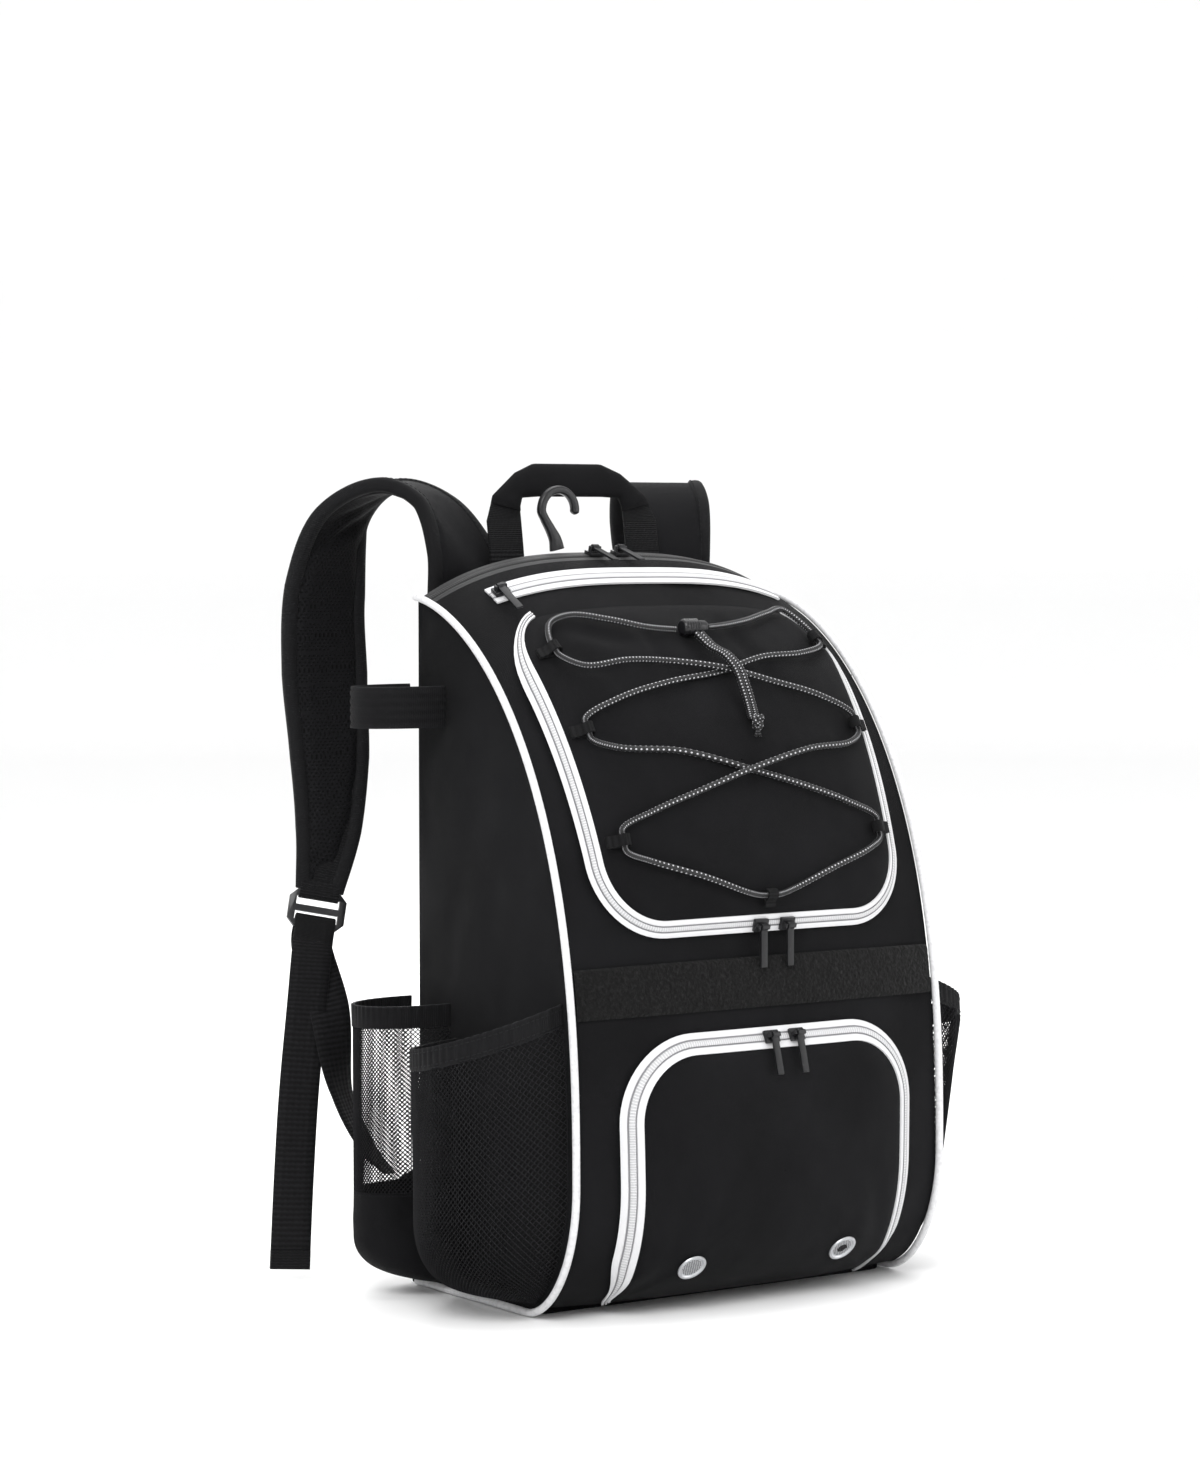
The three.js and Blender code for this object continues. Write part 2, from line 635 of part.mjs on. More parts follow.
// Frame of a loop: the cord runs along it, up leaves the pocket and the tail goes outwards
function loopFrame({ x, height, towards }) {
  const centre = onPocket(x, height, CORD_SEAT);
  const step = [-towards[1], Math.abs(towards[0])];
  const along = onPocket(x + step[0] * 3, height + step[1] * 3, CORD_SEAT)
    .sub(onPocket(x - step[0] * 3, height - step[1] * 3, CORD_SEAT)).normalize();
  if (towards[1]) along.negate();
  const up = frontNormal(x, shareAtHeight(height));
  up.addScaledVector(along, -up.dot(along)).normalize();
  const outwards = new THREE.Vector3().crossVectors(along, up);
  if (outwards.x * towards[0] + outwards.z * towards[1] < 0) outwards.negate();
  return { centre, along, up, outwards };
}

function makeCordLoop(loopSpot) {
  const inner = CORD_DIAMETER / 2 + LOOP_CLEARANCE;
  const tail = loopSpot.towards[1] ? LOOP_TAIL_BOTTOM : LOOP_TAIL;
  const outer = inner + LOOP_WALL;
  const shape = eyeShape(inner, outer, tail, -outer, LOOP_WALL * 1.6 - outer);
  const loop = new THREE.ExtrudeGeometry(shape, { depth: LOOP_HALF_LENGTH * 2, bevelEnabled: false });
  loop.translate(0, 0, -LOOP_HALF_LENGTH);
  const { centre, up, outwards } = loopFrame(loopSpot);
  const across = new THREE.Vector3().crossVectors(outwards, up);
  loop.applyMatrix4(new THREE.Matrix4().makeBasis(outwards, up, across).setPosition(centre));
  return fromManifold(toManifold(loop));
}

// Cord lock: a barrel with a button on one end
function makeCordLock() {
  const profile = [
    [0, -LOCK_LENGTH / 2], [LOCK_RADIUS * 0.86, -LOCK_LENGTH / 2], [LOCK_RADIUS, -LOCK_LENGTH * 0.43],
    [LOCK_RADIUS, LOCK_LENGTH * 0.2], [LOCK_RADIUS * 0.8, LOCK_LENGTH * 0.22],
    [LOCK_RADIUS * 0.8, LOCK_LENGTH * 0.44], [LOCK_RADIUS * 0.62, LOCK_LENGTH / 2], [0, LOCK_LENGTH / 2],
  ].map(([x, y]) => new THREE.Vector2(x, y));
  const barrel = new THREE.LatheGeometry(profile, 12);
  barrel.rotateZ(-Math.PI / 2);
  const seat = lockCentre();
  barrel.translate(seat.x, seat.y, seat.z);
  return fromManifold(toManifold(barrel));
}

function lockCentre() {
  return onPocket(0, 427, LOCK_RADIUS + SEAT_GAP);
}

// The two cord ends hang side by side from the lock to a knot
const TAIL_ROUTE = [
  [1, 423.3, 6.4], [4, 414.5, 8], [9, 408, 11.4], [13, 400, 11.6], [15, 391, 8.5], [17, 382, 4.6], [17, 375, 3.2],
];
const TAIL_SPACING = 4.4;

function makeBungeeTail() {
  const strands = [-0.5, 0.5].map((side) => {
    const points = TAIL_ROUTE.map(([x, height, lift]) => onPocket(x + side * TAIL_SPACING, height, lift + SEAT_GAP));
    return toManifold(tube(points, CORD_DIAMETER / 2, 6, 2));
  });
  const knot = new THREE.SphereGeometry(CORD_DIAMETER * 1.25, 7, 5);
  const end = TAIL_ROUTE[TAIL_ROUTE.length - 1];
  const centre = onPocket(end[0], end[1] - 3, end[2] + 3.4);
  return joined(...strands, toManifold(knot, moved(centre.x, centre.y, centre.z)));
}

// Plan of a pocket that bulges from the side: t runs from its front seam to its rear seam
function bulge(front, rear, spread, depth) {
  const reach = depth / 0.75;
  return new THREE.CubicBezierCurve(
    new THREE.Vector2(front, 0),
    new THREE.Vector2(front - spread[0], reach),
    new THREE.Vector2(rear + spread[1], reach),
    new THREE.Vector2(rear, 0),
  );
}

// A bulging band on one side between two heights, which may change along it
function sideWall(side, stepsU, stepsV, thickness, planAt, lowAt, highAt) {
  const surface = (inset) => (u, v) => {
    const z = mix(lowAt(u), highAt(u), stepsV > 1 ? v ** 1.7 : v);
    const plan = planAt(z);
    const point = plan.getPoint(u);
    const along = plan.getTangent(u);
    const y = point.x + along.y * inset;
    const out = point.y - along.x * inset;
    const foot = sideReach(point.x, z) + GAP + 0.2;
    return new THREE.Vector3(side * (foot + Math.max(0, out)), y, z);
  };
  return wall(stepsU, stepsV, surface(0), surface(thickness));
}

const swell = (z, floor, full) => Math.sqrt(clamp(1 - ((full - z) / (full - floor)) ** 2, 0.004, 1));

// The left pocket stands open all the way down, the right one mostly at its rim
function bottleDepth(z, side) {
  if (side < 0) return BOTTLE_POCKET_DEPTH;
  const open = clamp((z - POCKET_SWELL) / (BOTTLE_POCKET_RIM_REAR - POCKET_SWELL), 0, 1);
  return SLACK_POCKET_DEPTH * mix(SLACK_POCKET_FOOT, 1, open);
}

function bottlePlan(z, side) {
  const front = profilePoint(shareAtHeight(z)).x + BOTTLE_POCKET_SEAM;
  const scale = z >= POCKET_SWELL ? 1 : swell(z, POCKET_FLOOR, POCKET_SWELL);
  return bulge(front, BOTTLE_POCKET_REAR, [6 * scale, -38 * scale], bottleDepth(z, side) * scale);
}

const bottleRim = (u) => BOTTLE_POCKET_RIM_REAR + (BOTTLE_POCKET_RIM_FRONT - BOTTLE_POCKET_RIM_REAR) * (1 - u) ** 2.2;

function makeBottlePocket(side) {
  const plan = (z) => bottlePlan(z, side);
  return sideWall(side, 12, 6, MESH, plan, () => POCKET_FLOOR, (u) => bottleRim(u) - BINDING_HEIGHT - GAP);
}

function makePocketBinding(side) {
  const plan = (z) => bottlePlan(z, side);
  return sideWall(side, 12, 1, BINDING, plan, (u) => bottleRim(u) - BINDING_HEIGHT, bottleRim);
}

function sleevePlan(z) {
  const scale = z >= SLEEVE_SWELL ? 1 : swell(z, SLEEVE_FLOOR, SLEEVE_SWELL);
  return bulge(BAT_FRONT, BAT_REAR, [6 * scale, 6 * scale], BAT_DEPTH * scale);
}

function makeBatSleeve(side) {
  return sideWall(side, 10, 6, SLEEVE_WALL, sleevePlan, () => SLEEVE_FLOOR, () => SLEEVE_TOP);
}

function makeBatLoop(side) {
  const plan = () => bulge(BAT_FRONT + 6, BAT_REAR, [5, 6], BAT_DEPTH - 1);
  return sideWall(side, 10, 1, SLEEVE_WALL, plan, () => LOOP_BOTTOM, () => LOOP_TOP);
}

// Carry handle: webbing legs sewn on the back, folded at the corners into a fabric grip
const HANDLE_ROWS = [
  { outer: 1, inner: 1, rise: 0, drop: 0 },
  { outer: 1, inner: 1, rise: 0.42, drop: 0.42 },
  { outer: 1, inner: 1, rise: 0.62, drop: 0.62 },
  { outer: 0.9, inner: 1, rise: 0.79, drop: 0.72 },
  { outer: 0.62, inner: 0.94, rise: 0.94, drop: 0.78 },
  { outer: 0.4, inner: 0.62, rise: 1, drop: 0.79 },
];

function makeHandle() {
  const height = HANDLE_TOP - HANDLE_FOOT;
  const innerHalf = HANDLE_HALF - HANDLE_WEBBING;
  const half = HANDLE_ROWS.map((row) => ({
    outer: [row.outer * HANDLE_HALF, HANDLE_FOOT + row.rise * height],
    inner: [row.inner * innerHalf, HANDLE_FOOT + row.drop * height],
  }));
  const mirror = ({ outer, inner }) => ({ outer: [-outer[0], outer[1]], inner: [-inner[0], inner[1]] });
  const rows = [...half.map(mirror), ...half.slice().reverse()];
  const lean = (z) => backReach(0, HANDLE_FOOT) + GAP + HANDLE_LEAN * clamp((z - SIDE_HEIGHT) / (HANDLE_TOP - SIDE_HEIGHT), 0, 1) ** 1.4;
  const surface = (thickness) => (u, v) => {
    const row = rows[Math.round(v * (rows.length - 1))];
    const x = mix(row.inner[0], row.outer[0], u);
    const z = mix(row.inner[1], row.outer[1], u);
    return new THREE.Vector3(HARNESS_SHIFT + x, lean(z) + thickness, z);
  };
  return wall(2, rows.length - 1, surface(HANDLE_THICKNESS), surface(0));
}

// Fence hook: a flat plastic hook that stands on the seam at the top of the back
function makeHook() {
  const middle = new THREE.Vector2(0, HOOK_TOP - HOOK_RADIUS - HOOK_THICKNESS / 2);
  const foot = archHeight(HOOK_X) + GAP + 0.3;
  const outline = new THREE.Shape();
  const arc = (radius, from, to, steps) => {
    const points = [];
    for (let i = 0; i <= steps; i += 1) {
      const angle = mix(from, to, i / steps);
      points.push([middle.x + radius * Math.cos(angle), middle.y + radius * Math.sin(angle)]);
    }
    return points;
  };
  const outerRadius = HOOK_RADIUS + HOOK_THICKNESS / 2;
  const innerRadius = HOOK_RADIUS - HOOK_THICKNESS / 2;
  const tip = -0.25;
  const points = [
    [-12, foot],
    ...arc(outerRadius, Math.PI * 1.03, tip, 9),
    ...arc(innerRadius, tip, Math.PI * 1.08, 7),
    [10, foot],
  ];
  points.forEach(([x, z], i) => (i ? outline.lineTo(x, z) : outline.moveTo(x, z)));
  const hook = new THREE.ExtrudeGeometry(outline, { depth: HOOK_THICKNESS, bevelEnabled: false });
  hook.rotateX(Math.PI / 2);
  hook.translate(HOOK_X, BACK_FRONT_Y + (BACK_PADDING + HOOK_THICKNESS) / 2, 0);
  return hook;
}

// Ribbons: a flat section carried through named stations. turn is the angle of the width from
// the X axis, in degrees, and share the width as a share of the full width
function widthDirection({ turn, across }) {
  if (across) return across.clone();
  const angle = THREE.MathUtils.degToRad(turn);
  return new THREE.Vector3(Math.cos(angle), Math.sin(angle), 0);
}

function ribbonRings(stations, width, thickness, steps, section) {
  const curve = new THREE.CatmullRomCurve3(stations.map((s) => new THREE.Vector3(s.x, s.y, s.z)), false, 'centripetal');
  const count = stations.length - 1;
  const rings = [];
  for (let j = 0; j <= steps; j += 1) {
    const t = j / steps;
    const k = Math.min(count - 1, Math.floor(t * count));
    const part = t * count - k;
    const share = mix(stations[k].share, stations[k + 1].share, part);
    const thin = mix(stations[k].thin ?? 1, stations[k + 1].thin ?? 1, part);
    const along = curve.getTangent(t);
    const across = widthDirection(stations[k]).lerp(widthDirection(stations[k + 1]), part);
    across.addScaledVector(along, -across.dot(along)).normalize();
    const normal = new THREE.Vector3().crossVectors(along, across);
    const centre = curve.getPoint(t);
    rings.push(section.map(([a, b]) => centre.clone()
      .addScaledVector(across, a * width * share / 2)
      .addScaledVector(normal, b * thickness * thin / 2)));
  }
  return rings;
}

const PAD_SECTION = [[-1, -0.4], [-0.84, -1], [0.84, -1], [1, -0.4], [1, 0.4], [0.84, 1], [-0.84, 1], [-1, 0.4]];
const FLAT_SECTION = [[-1, -1], [1, -1], [1, 1], [-1, 1]];

// Left strap, x measured outwards from the middle of the harness
const PAD_LEFT = [
  { x: -86, behind: 8.9, z: 436, turn: 0, share: 1, thin: 0.8 },
  { x: -86, behind: 10.6, z: 474, turn: 0, share: 1 },
  { x: -90, behind: 15.4, z: 508, turn: 16, share: 1 },
  { x: -102, behind: 32, z: 541, turn: 36, share: 1 },
  { x: -124, behind: 56, z: 552, turn: 44, share: 1 },
  { x: -148, behind: 75, z: 530, turn: 26, share: 1 },
  { x: -161, behind: 80, z: 478, turn: 4, share: 1 },
  { x: -164, behind: 76, z: 420, turn: -8, share: 0.96 },
  { x: -165, behind: 68, z: 362, turn: -14, share: 0.86 },
  { x: -171, behind: 60, z: 312, turn: -18, share: 0.7, thin: 0.85 },
  { x: -182, behind: 54, z: 270, turn: -20, share: 0.5, thin: 0.4 },
];
const PAD_RIGHT = [
  { x: 86, behind: 8.9, z: 436, turn: 0, share: 1, thin: 0.8 },
  { x: 86, behind: 10.6, z: 474, turn: 0, share: 1 },
  { x: 88, behind: 15.4, z: 508, turn: -9, share: 1 },
  { x: 96, behind: 31, z: 541, turn: -20, share: 1 },
  { x: 106, behind: 55, z: 552, turn: -26, share: 1 },
  { x: 116, behind: 74, z: 530, turn: -16, share: 1 },
  { x: 124, behind: 79, z: 478, turn: -2, share: 1 },
  { x: 132, behind: 75, z: 420, turn: 6, share: 0.96 },
  { x: 140, behind: 67, z: 362, turn: 12, share: 0.86 },
  { x: 150, behind: 59, z: 312, turn: 14, share: 0.7, thin: 0.85 },
  { x: 160, behind: 53, z: 270, turn: 16, share: 0.5, thin: 0.4 },
];

const shifted = (stations) => stations.map((s) => ({ ...s, x: s.x + HARNESS_SHIFT, y: BACK_Y + s.behind }));
const makePad = (stations) => loft(ribbonRings(shifted(stations), STRAP_WIDTH, STRAP_THICKNESS, 20, PAD_SECTION));

// Ladder buckle below the end of the pad: two slots, and a bar that the webbing turns round
function buckleCentre(stations) {
  const [before, end] = shifted(stations).slice(-2);
  const down = new THREE.Vector3(end.x - before.x, end.y - before.y, end.z - before.z).normalize();
  const centre = new THREE.Vector3(end.x, end.y, end.z).addScaledVector(down, BUCKLE_HEIGHT / 2 + GAP + 0.2);
  const turn = THREE.MathUtils.degToRad(end.turn);
  const across = new THREE.Vector3(Math.cos(turn), Math.sin(turn), 0);
  across.addScaledVector(down, -across.dot(down)).normalize();
  return { centre, down, across, normal: new THREE.Vector3().crossVectors(across, down) };
}

// Way of the webbing round the lower bar: distance past the bar's edge, and share of its clearance
const BUCKLE_TURN = [[14, -1], [1.2, -1], [-2, -0.8], [-3.6, 0], [-2, 0.8], [1.2, 1], [14, 1]];
const BUCKLE_BAR = 4.5;
const BUCKLE_SLOT = 6;

function makeBuckle(stations) {
  const outline = new THREE.Shape();
  const [w, h, cut] = [BUCKLE_WIDTH / 2, BUCKLE_HEIGHT / 2, 5];
  outline.moveTo(-w + cut, -h);
  outline.lineTo(w - cut, -h);
  outline.lineTo(w, -h + cut);
  outline.lineTo(w, h - cut);
  outline.lineTo(w - cut, h);
  outline.lineTo(-w + cut, h);
  outline.lineTo(-w, h - cut);
  outline.lineTo(-w, -h + cut);
  for (const side of [-1, 1]) {
    const middle = side * (BUCKLE_BAR + BUCKLE_SLOT) / 2;
    const [x, low, high] = [WEBBING_WIDTH / 2 + 1.2, middle - BUCKLE_SLOT / 2, middle + BUCKLE_SLOT / 2];
    const slot = new THREE.Path();
    slot.moveTo(-x, low);
    slot.lineTo(-x, high);
    slot.lineTo(x, high);
    slot.lineTo(x, low);
    slot.closePath();
    outline.holes.push(slot);
  }
  const buckle = new THREE.ExtrudeGeometry(outline, { depth: BUCKLE_THICKNESS, bevelEnabled: false });
  buckle.translate(0, 0, -BUCKLE_THICKNESS / 2);
  const { centre, down, across, normal } = buckleCentre(stations);
  buckle.applyMatrix4(new THREE.Matrix4().makeBasis(across, down, normal).setPosition(centre));
  return buckle;
}

// Webbing: from the lower anchor up behind the buckle, through it round the bar, and down as a tail
const WEB_RUNS = {
  left: {
    low: [-171, 21, 92], middle: [-182, 38, 130], high: [-188, 45, 190],
    tail: [[-203, 50, 190], [-209, 51, 130], [-214, 50, 70], [-218, 49, 9]],
  },
  right: {
    low: [170, 21, 92], middle: [172, 38, 130], high: [166, 44, 190],
    tail: [[168, 55, 190], [174, 57, 130], [179, 57, 80], [181, 56, 28]],
  },
};

function makeWebbing(stations, run, side) {
  const { centre, down, across, normal } = buckleCentre(stations);
  const clear = BUCKLE_THICKNESS / 2 + WEBBING / 2 + 0.5;
  const barEdge = BUCKLE_BAR / 2 + BUCKLE_SLOT;
  const spot = (along, out) => centre.clone().addScaledVector(down, along).addScaledVector(normal, out);
  const station = (p, turn, share = 1) => ({ x: p.x, y: p.y, z: p.z, turn, share });
  const fixed = (p) => new THREE.Vector3(p[0], BACK_Y + p[1], p[2]);
  const front = normal.y < 0 ? 1 : -1;
  const turn = stations[stations.length - 1].turn;
  const stationList = [
    station(fixed([side * (HALF_WIDTH + 12), 8, ANCHOR_HEIGHT + 10]), side * -50, 0.9),
    station(fixed(run.low), side * -40),
    station(fixed(run.middle), side * -30),
    station(fixed(run.high), turn),
    ...BUCKLE_TURN.map(([past, out]) => ({ ...spot(barEdge + past, front * out * clear), across, share: 1 })),
    ...run.tail.map((p) => station(fixed(p), turn)),
  ];
  return loft(ribbonRings(stationList, WEBBING_WIDTH, WEBBING, 42, FLAT_SECTION));
}

// Anchor: a folded triangle of webbing sewn into the side of the back panel
function makeAnchor(side) {
  const outline = new THREE.Shape();
  outline.moveTo(HALF_WIDTH - 34, ANCHOR_HEIGHT - 26);
  outline.lineTo(HALF_WIDTH + 8, ANCHOR_HEIGHT - 16);
  outline.lineTo(HALF_WIDTH + 12, ANCHOR_HEIGHT + 4);
  outline.lineTo(HALF_WIDTH - 34, ANCHOR_HEIGHT + 26);
  const flap = new THREE.ExtrudeGeometry(outline, { depth: CLOTH, bevelEnabled: false });
  flap.rotateX(Math.PI / 2);
  flap.translate(0, backReach(HALF_WIDTH - 34, ANCHOR_HEIGHT) + GAP + CLOTH, 0);
  return side > 0 ? flap : mirrored(flap);
}

function mirrored(geometry) {
  const copy = geometry.clone();
  copy.applyMatrix4(new THREE.Matrix4().makeScale(-1, 1, 1));
  const flat = mergeVertices(bareCopy(copy), 1e-4);
  flat.setIndex(flipped(Array.from(flat.index.array)));
  flat.computeVertexNormals();
  return flat;
}

function bareCopy(geometry) {
  const bare = geometry.clone();
  bare.deleteAttribute('normal');
  bare.deleteAttribute('uv');
  return bare;
}

// Zipper slider: a low body on the tape and a bail bar that the pull's eye turns on. Its X axis
// is the bail, its Y axis leaves the tape
function sliderGeometry() {
  const body = new THREE.BoxGeometry(SLIDER_LENGTH, SLIDER_THICKNESS, SLIDER_WIDTH);
  const bar = new THREE.CylinderGeometry(BAIL_RADIUS, BAIL_RADIUS, PULL_WIDTH + 3.4, 6);
  bar.rotateZ(Math.PI / 2);
  const post = new THREE.BoxGeometry(1.4, BAIL_HEIGHT, 3);
  const postX = PULL_WIDTH / 2 + 0.5 + 0.7;
  return joined(
    toManifold(body, moved(0, SLIDER_THICKNESS / 2, 0)),
    toManifold(bar, moved(0, BAIL_HEIGHT, 0)),
    toManifold(post, moved(postX, SLIDER_THICKNESS / 2 + BAIL_HEIGHT / 2, 0)),
    toManifold(post, moved(-postX, SLIDER_THICKNESS / 2 + BAIL_HEIGHT / 2, 0)),
  );
}

// Pull: an eye round the bail and a flat tab. Its own X axis is the hinge and it hangs along -Y
function pullGeometry() {
  const inner = BAIL_RADIUS + PULL_CLEARANCE;
  const half = PULL_THICKNESS / 2;
  const shape = eyeShape(inner, inner + PULL_RING_WALL, PULL_LENGTH, -half, half);
  const pull = new THREE.ExtrudeGeometry(shape, { depth: PULL_WIDTH, bevelEnabled: false });
  pull.translate(0, 0, -PULL_WIDTH / 2);
  pull.rotateZ(-Math.PI / 2);
  pull.rotateY(Math.PI / 2);
  return fromManifold(toManifold(pull));
}

const UPPER_FACE = addPart('upper_pocket', makePocketFace(UPPER_POCKET), CLOTH_BLACK);
const LOWER_FACE = addPart('lower_pocket', makePocketFace(LOWER_POCKET), CLOTH_BLACK);
addPart('front_panel', makeFrontPanel(), CLOTH_BLACK);
addPart('back_panel', makeBackPanel(), CLOTH_BLACK);
addPart('base_panel', makeBasePanel(), CLOTH_BLACK);
const MAIN_ZIP = addPart('main_zipper', makeMainZipper(), ZIP_BLACK);
const SLIT_ZIP = addPart('slit_zipper', makeFrontStrip(SLIT_ZIP_HALF, SLIT_ZIP_HEIGHT - SLIT_ZIP_WIDTH / 2,
  SLIT_ZIP_HEIGHT + SLIT_ZIP_WIDTH / 2, TAPE, 18), TRIM_WHITE);
addPart('patch_strip', makeFrontStrip(PANEL_HALF, PATCH_BOTTOM, PATCH_TOP, PATCH_THICKNESS, 16), CLOTH_BLACK);
const UPPER_ZIP = addPart('upper_pocket_zipper', makePocketZipper(UPPER_POCKET), TRIM_WHITE);
const LOWER_ZIP = addPart('lower_pocket_zipper', makePocketZipper(LOWER_POCKET), TRIM_WHITE);
addPart('vent_left', makeVent(-1), VENT_METAL);
addPart('vent_right', makeVent(1), VENT_METAL);
addPart('bungee_cord', tube(cordPoints(), CORD_DIAMETER / 2, 5, 2), CLOTH_BLACK);
for (const loop of LOOPS) addPart(`cord_loop_${loop.name}`, makeCordLoop(loop), WEBBING_BLACK);
addPart('cord_lock', makeCordLock(), PLASTIC_BLACK);
addPart('bungee_tail', makeBungeeTail(), CLOTH_BLACK);
addPart('carry_handle', makeHandle(), WEBBING_BLACK);
addPart('fence_hook', makeHook(), PLASTIC_BLACK);

for (const [word, side, stations] of [['left', -1, PAD_LEFT], ['right', 1, PAD_RIGHT]]) {
  addPart(`side_panel_${word}`, makeSidePanel(side), CLOTH_BLACK);
  addPart(`piping_${word}`, makePiping(side), TRIM_WHITE);
  addPart(`bottle_pocket_${word}`, makeBottlePocket(side), MESH_BLACK);
  addPart(`pocket_binding_${word}`, makePocketBinding(side), WEBBING_BLACK);
  addPart(`bat_sleeve_${word}`, makeBatSleeve(side), MESH_BLACK);
  addPart(`bat_loop_${word}`, makeBatLoop(side), WEBBING_BLACK);
  addPart(`shoulder_pad_${word}`, makePad(stations), CLOTH_BLACK);
  addPart(`buckle_${word}`, makeBuckle(stations), PLASTIC_BLACK);
  addPart(`strap_webbing_${word}`, makeWebbing(stations, WEB_RUNS[word], side), WEBBING_BLACK);
  addPart(`strap_anchor_${word}`, makeAnchor(side), WEBBING_BLACK);
}

// Each row seats one slider on a zipper. A pull either hangs, lean degrees forwards of straight
// down, or lies downhill, dip degrees towards the cloth
const MAIN_ZIP_SHARE = shareAtDepth(BACK_FRONT_Y - GAP - MAIN_ZIP_WIDTH / 2);
const SLIDERS = [
  { name: 'upper_left', on: UPPER_ZIP, x: -4, share: shareAtHeight(254), lean: 0 },
  { name: 'upper_right', on: UPPER_ZIP, x: 18, share: shareAtHeight(254), lean: 0 },
  { name: 'lower_left', on: LOWER_ZIP, x: -4, share: shareAtHeight(181), lean: 15 },
  { name: 'lower_right', on: LOWER_ZIP, x: 17, share: shareAtHeight(181), lean: 15 },
  { name: 'slit', on: SLIT_ZIP, x: -113, share: shareAtHeight(SLIT_ZIP_HEIGHT), dip: 4 },
  { name: 'main_left', on: MAIN_ZIP, x: -14, share: MAIN_ZIP_SHARE, dip: 3 },
  { name: 'main_right', on: MAIN_ZIP, x: 8, share: MAIN_ZIP_SHARE, dip: 3 },
];
const SLIDER_CLEARANCE = 0.5;

function addSlider({ name, on, x, share, lean, dip }) {
  const { lift, normal: up } = meet(on, x, share);
  const origin = frontAtShare(x, share, lift).addScaledVector(up, SLIDER_CLEARANCE);
  const along = new THREE.Vector3(1, 0, 0).addScaledVector(up, -up.x).normalize();
  const across = new THREE.Vector3().crossVectors(along, up);
  const place = new THREE.Matrix4().makeBasis(along, up, across).setPosition(origin);
  addPart(`slider_${name}`, sliderGeometry(), PULL_METAL).applyMatrix4(place);

  const angle = THREE.MathUtils.degToRad(lean ?? dip);
  const hanging = new THREE.Vector3(0, Math.sin(angle), Math.cos(angle));
  const lying = across.clone().multiplyScalar(-Math.cos(angle)).addScaledVector(up, Math.sin(angle));
  const away = lean === undefined ? lying : hanging;
  away.addScaledVector(along, -away.dot(along)).normalize();
  const hinge = origin.clone().addScaledVector(up, BAIL_HEIGHT);
  const thickness = new THREE.Vector3().crossVectors(along, away);
  addPart(`pull_${name}`, pullGeometry(), PULL_METAL)
    .applyMatrix4(new THREE.Matrix4().makeBasis(along, away, thickness).setPosition(hinge));
}

for (const seat of SLIDERS) addSlider(seat);

export default BACKPACK;
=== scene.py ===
"""Baseball bat backpack: the cloth, net, webbing, cord and hardware of a bag that stands on its base.
The shapes are worked out in millimetres, with the front at -Y, and are written in metres."""
import math
from math import cos, pi, radians, sin

import bmesh
import bpy
from bpy.props import FloatProperty, FloatVectorProperty, IntProperty, PointerProperty
from mathutils import Matrix, Vector, noise
from mathutils.kdtree import KDTree


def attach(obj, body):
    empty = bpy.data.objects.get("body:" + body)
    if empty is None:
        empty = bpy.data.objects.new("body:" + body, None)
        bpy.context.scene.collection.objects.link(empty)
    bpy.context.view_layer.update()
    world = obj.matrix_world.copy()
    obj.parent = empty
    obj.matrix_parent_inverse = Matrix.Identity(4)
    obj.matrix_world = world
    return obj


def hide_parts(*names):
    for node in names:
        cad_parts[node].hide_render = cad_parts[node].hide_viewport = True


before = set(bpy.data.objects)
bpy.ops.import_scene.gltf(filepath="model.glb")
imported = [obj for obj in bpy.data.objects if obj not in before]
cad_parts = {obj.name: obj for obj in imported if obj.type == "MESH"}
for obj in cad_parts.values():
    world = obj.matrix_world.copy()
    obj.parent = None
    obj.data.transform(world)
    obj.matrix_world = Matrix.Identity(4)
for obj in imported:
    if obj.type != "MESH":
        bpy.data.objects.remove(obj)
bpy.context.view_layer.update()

bl_info = {
    "name": "Baseball bat backpack",
    "version": (1, 0, 0),
    "blender": (4, 5, 0),
    "location": "View3D > Sidebar > Backpack",
    "description": "Black bag with zipped front pockets, a bungee, side pockets, bat sleeves and straps",
    "category": "Add Mesh",
}

MM = 0.001

# Body
HALF_WIDTH = 150
BODY_DEPTH = 206
SIDE_HEIGHT = 474
BELLY_HEIGHT = 93
FOOT_DEPTH = 150
BASE_THICKNESS = 5
CROWN_FRONT = 11
CROWN_TOP = 33
SIDE_BULGE = 5
CLOTH = 2.2
BACK_PADDING = 12
BACK_CROWN = 5
CHANNEL_X = 52
CHANNEL_WIDTH = 6
CHANNEL_FADE = 20
GAP = 0.35
BACK_Y = BODY_DEPTH / 2
BACK_FRONT_Y = BACK_Y - BACK_PADDING

# Seams, zippers and trim
PIPING_RADIUS = 2.6
MAIN_ZIP_WIDTH = 16
TAPE = 1.5
TRIM_LIFT = 0.7
SLIT_ZIP = {"height": 461, "width": 7, "half": 120}
PATCH = {"low": 201, "high": 234, "thickness": 1.8}

# Front pockets, as outlines on the front of the bag
POCKET_PEAK = 15
UPPER = {"top_half": 128, "bottom_half": 117, "top": 446, "bottom": 260, "top_radius": 26,
         "bottom_radius": 42, "rim": 7, "band": 10.5, "sewn_at_top": True}
LOWER = {"top_half": 108, "bottom_half": 105, "top": 174, "bottom": 14, "top_radius": 42,
         "bottom_radius": 3, "rim": 9, "band": 14, "sewn_at_top": False}
VENT = {"radius": 10.5, "half_spacing": 63, "height": 42, "thickness": 1.6}

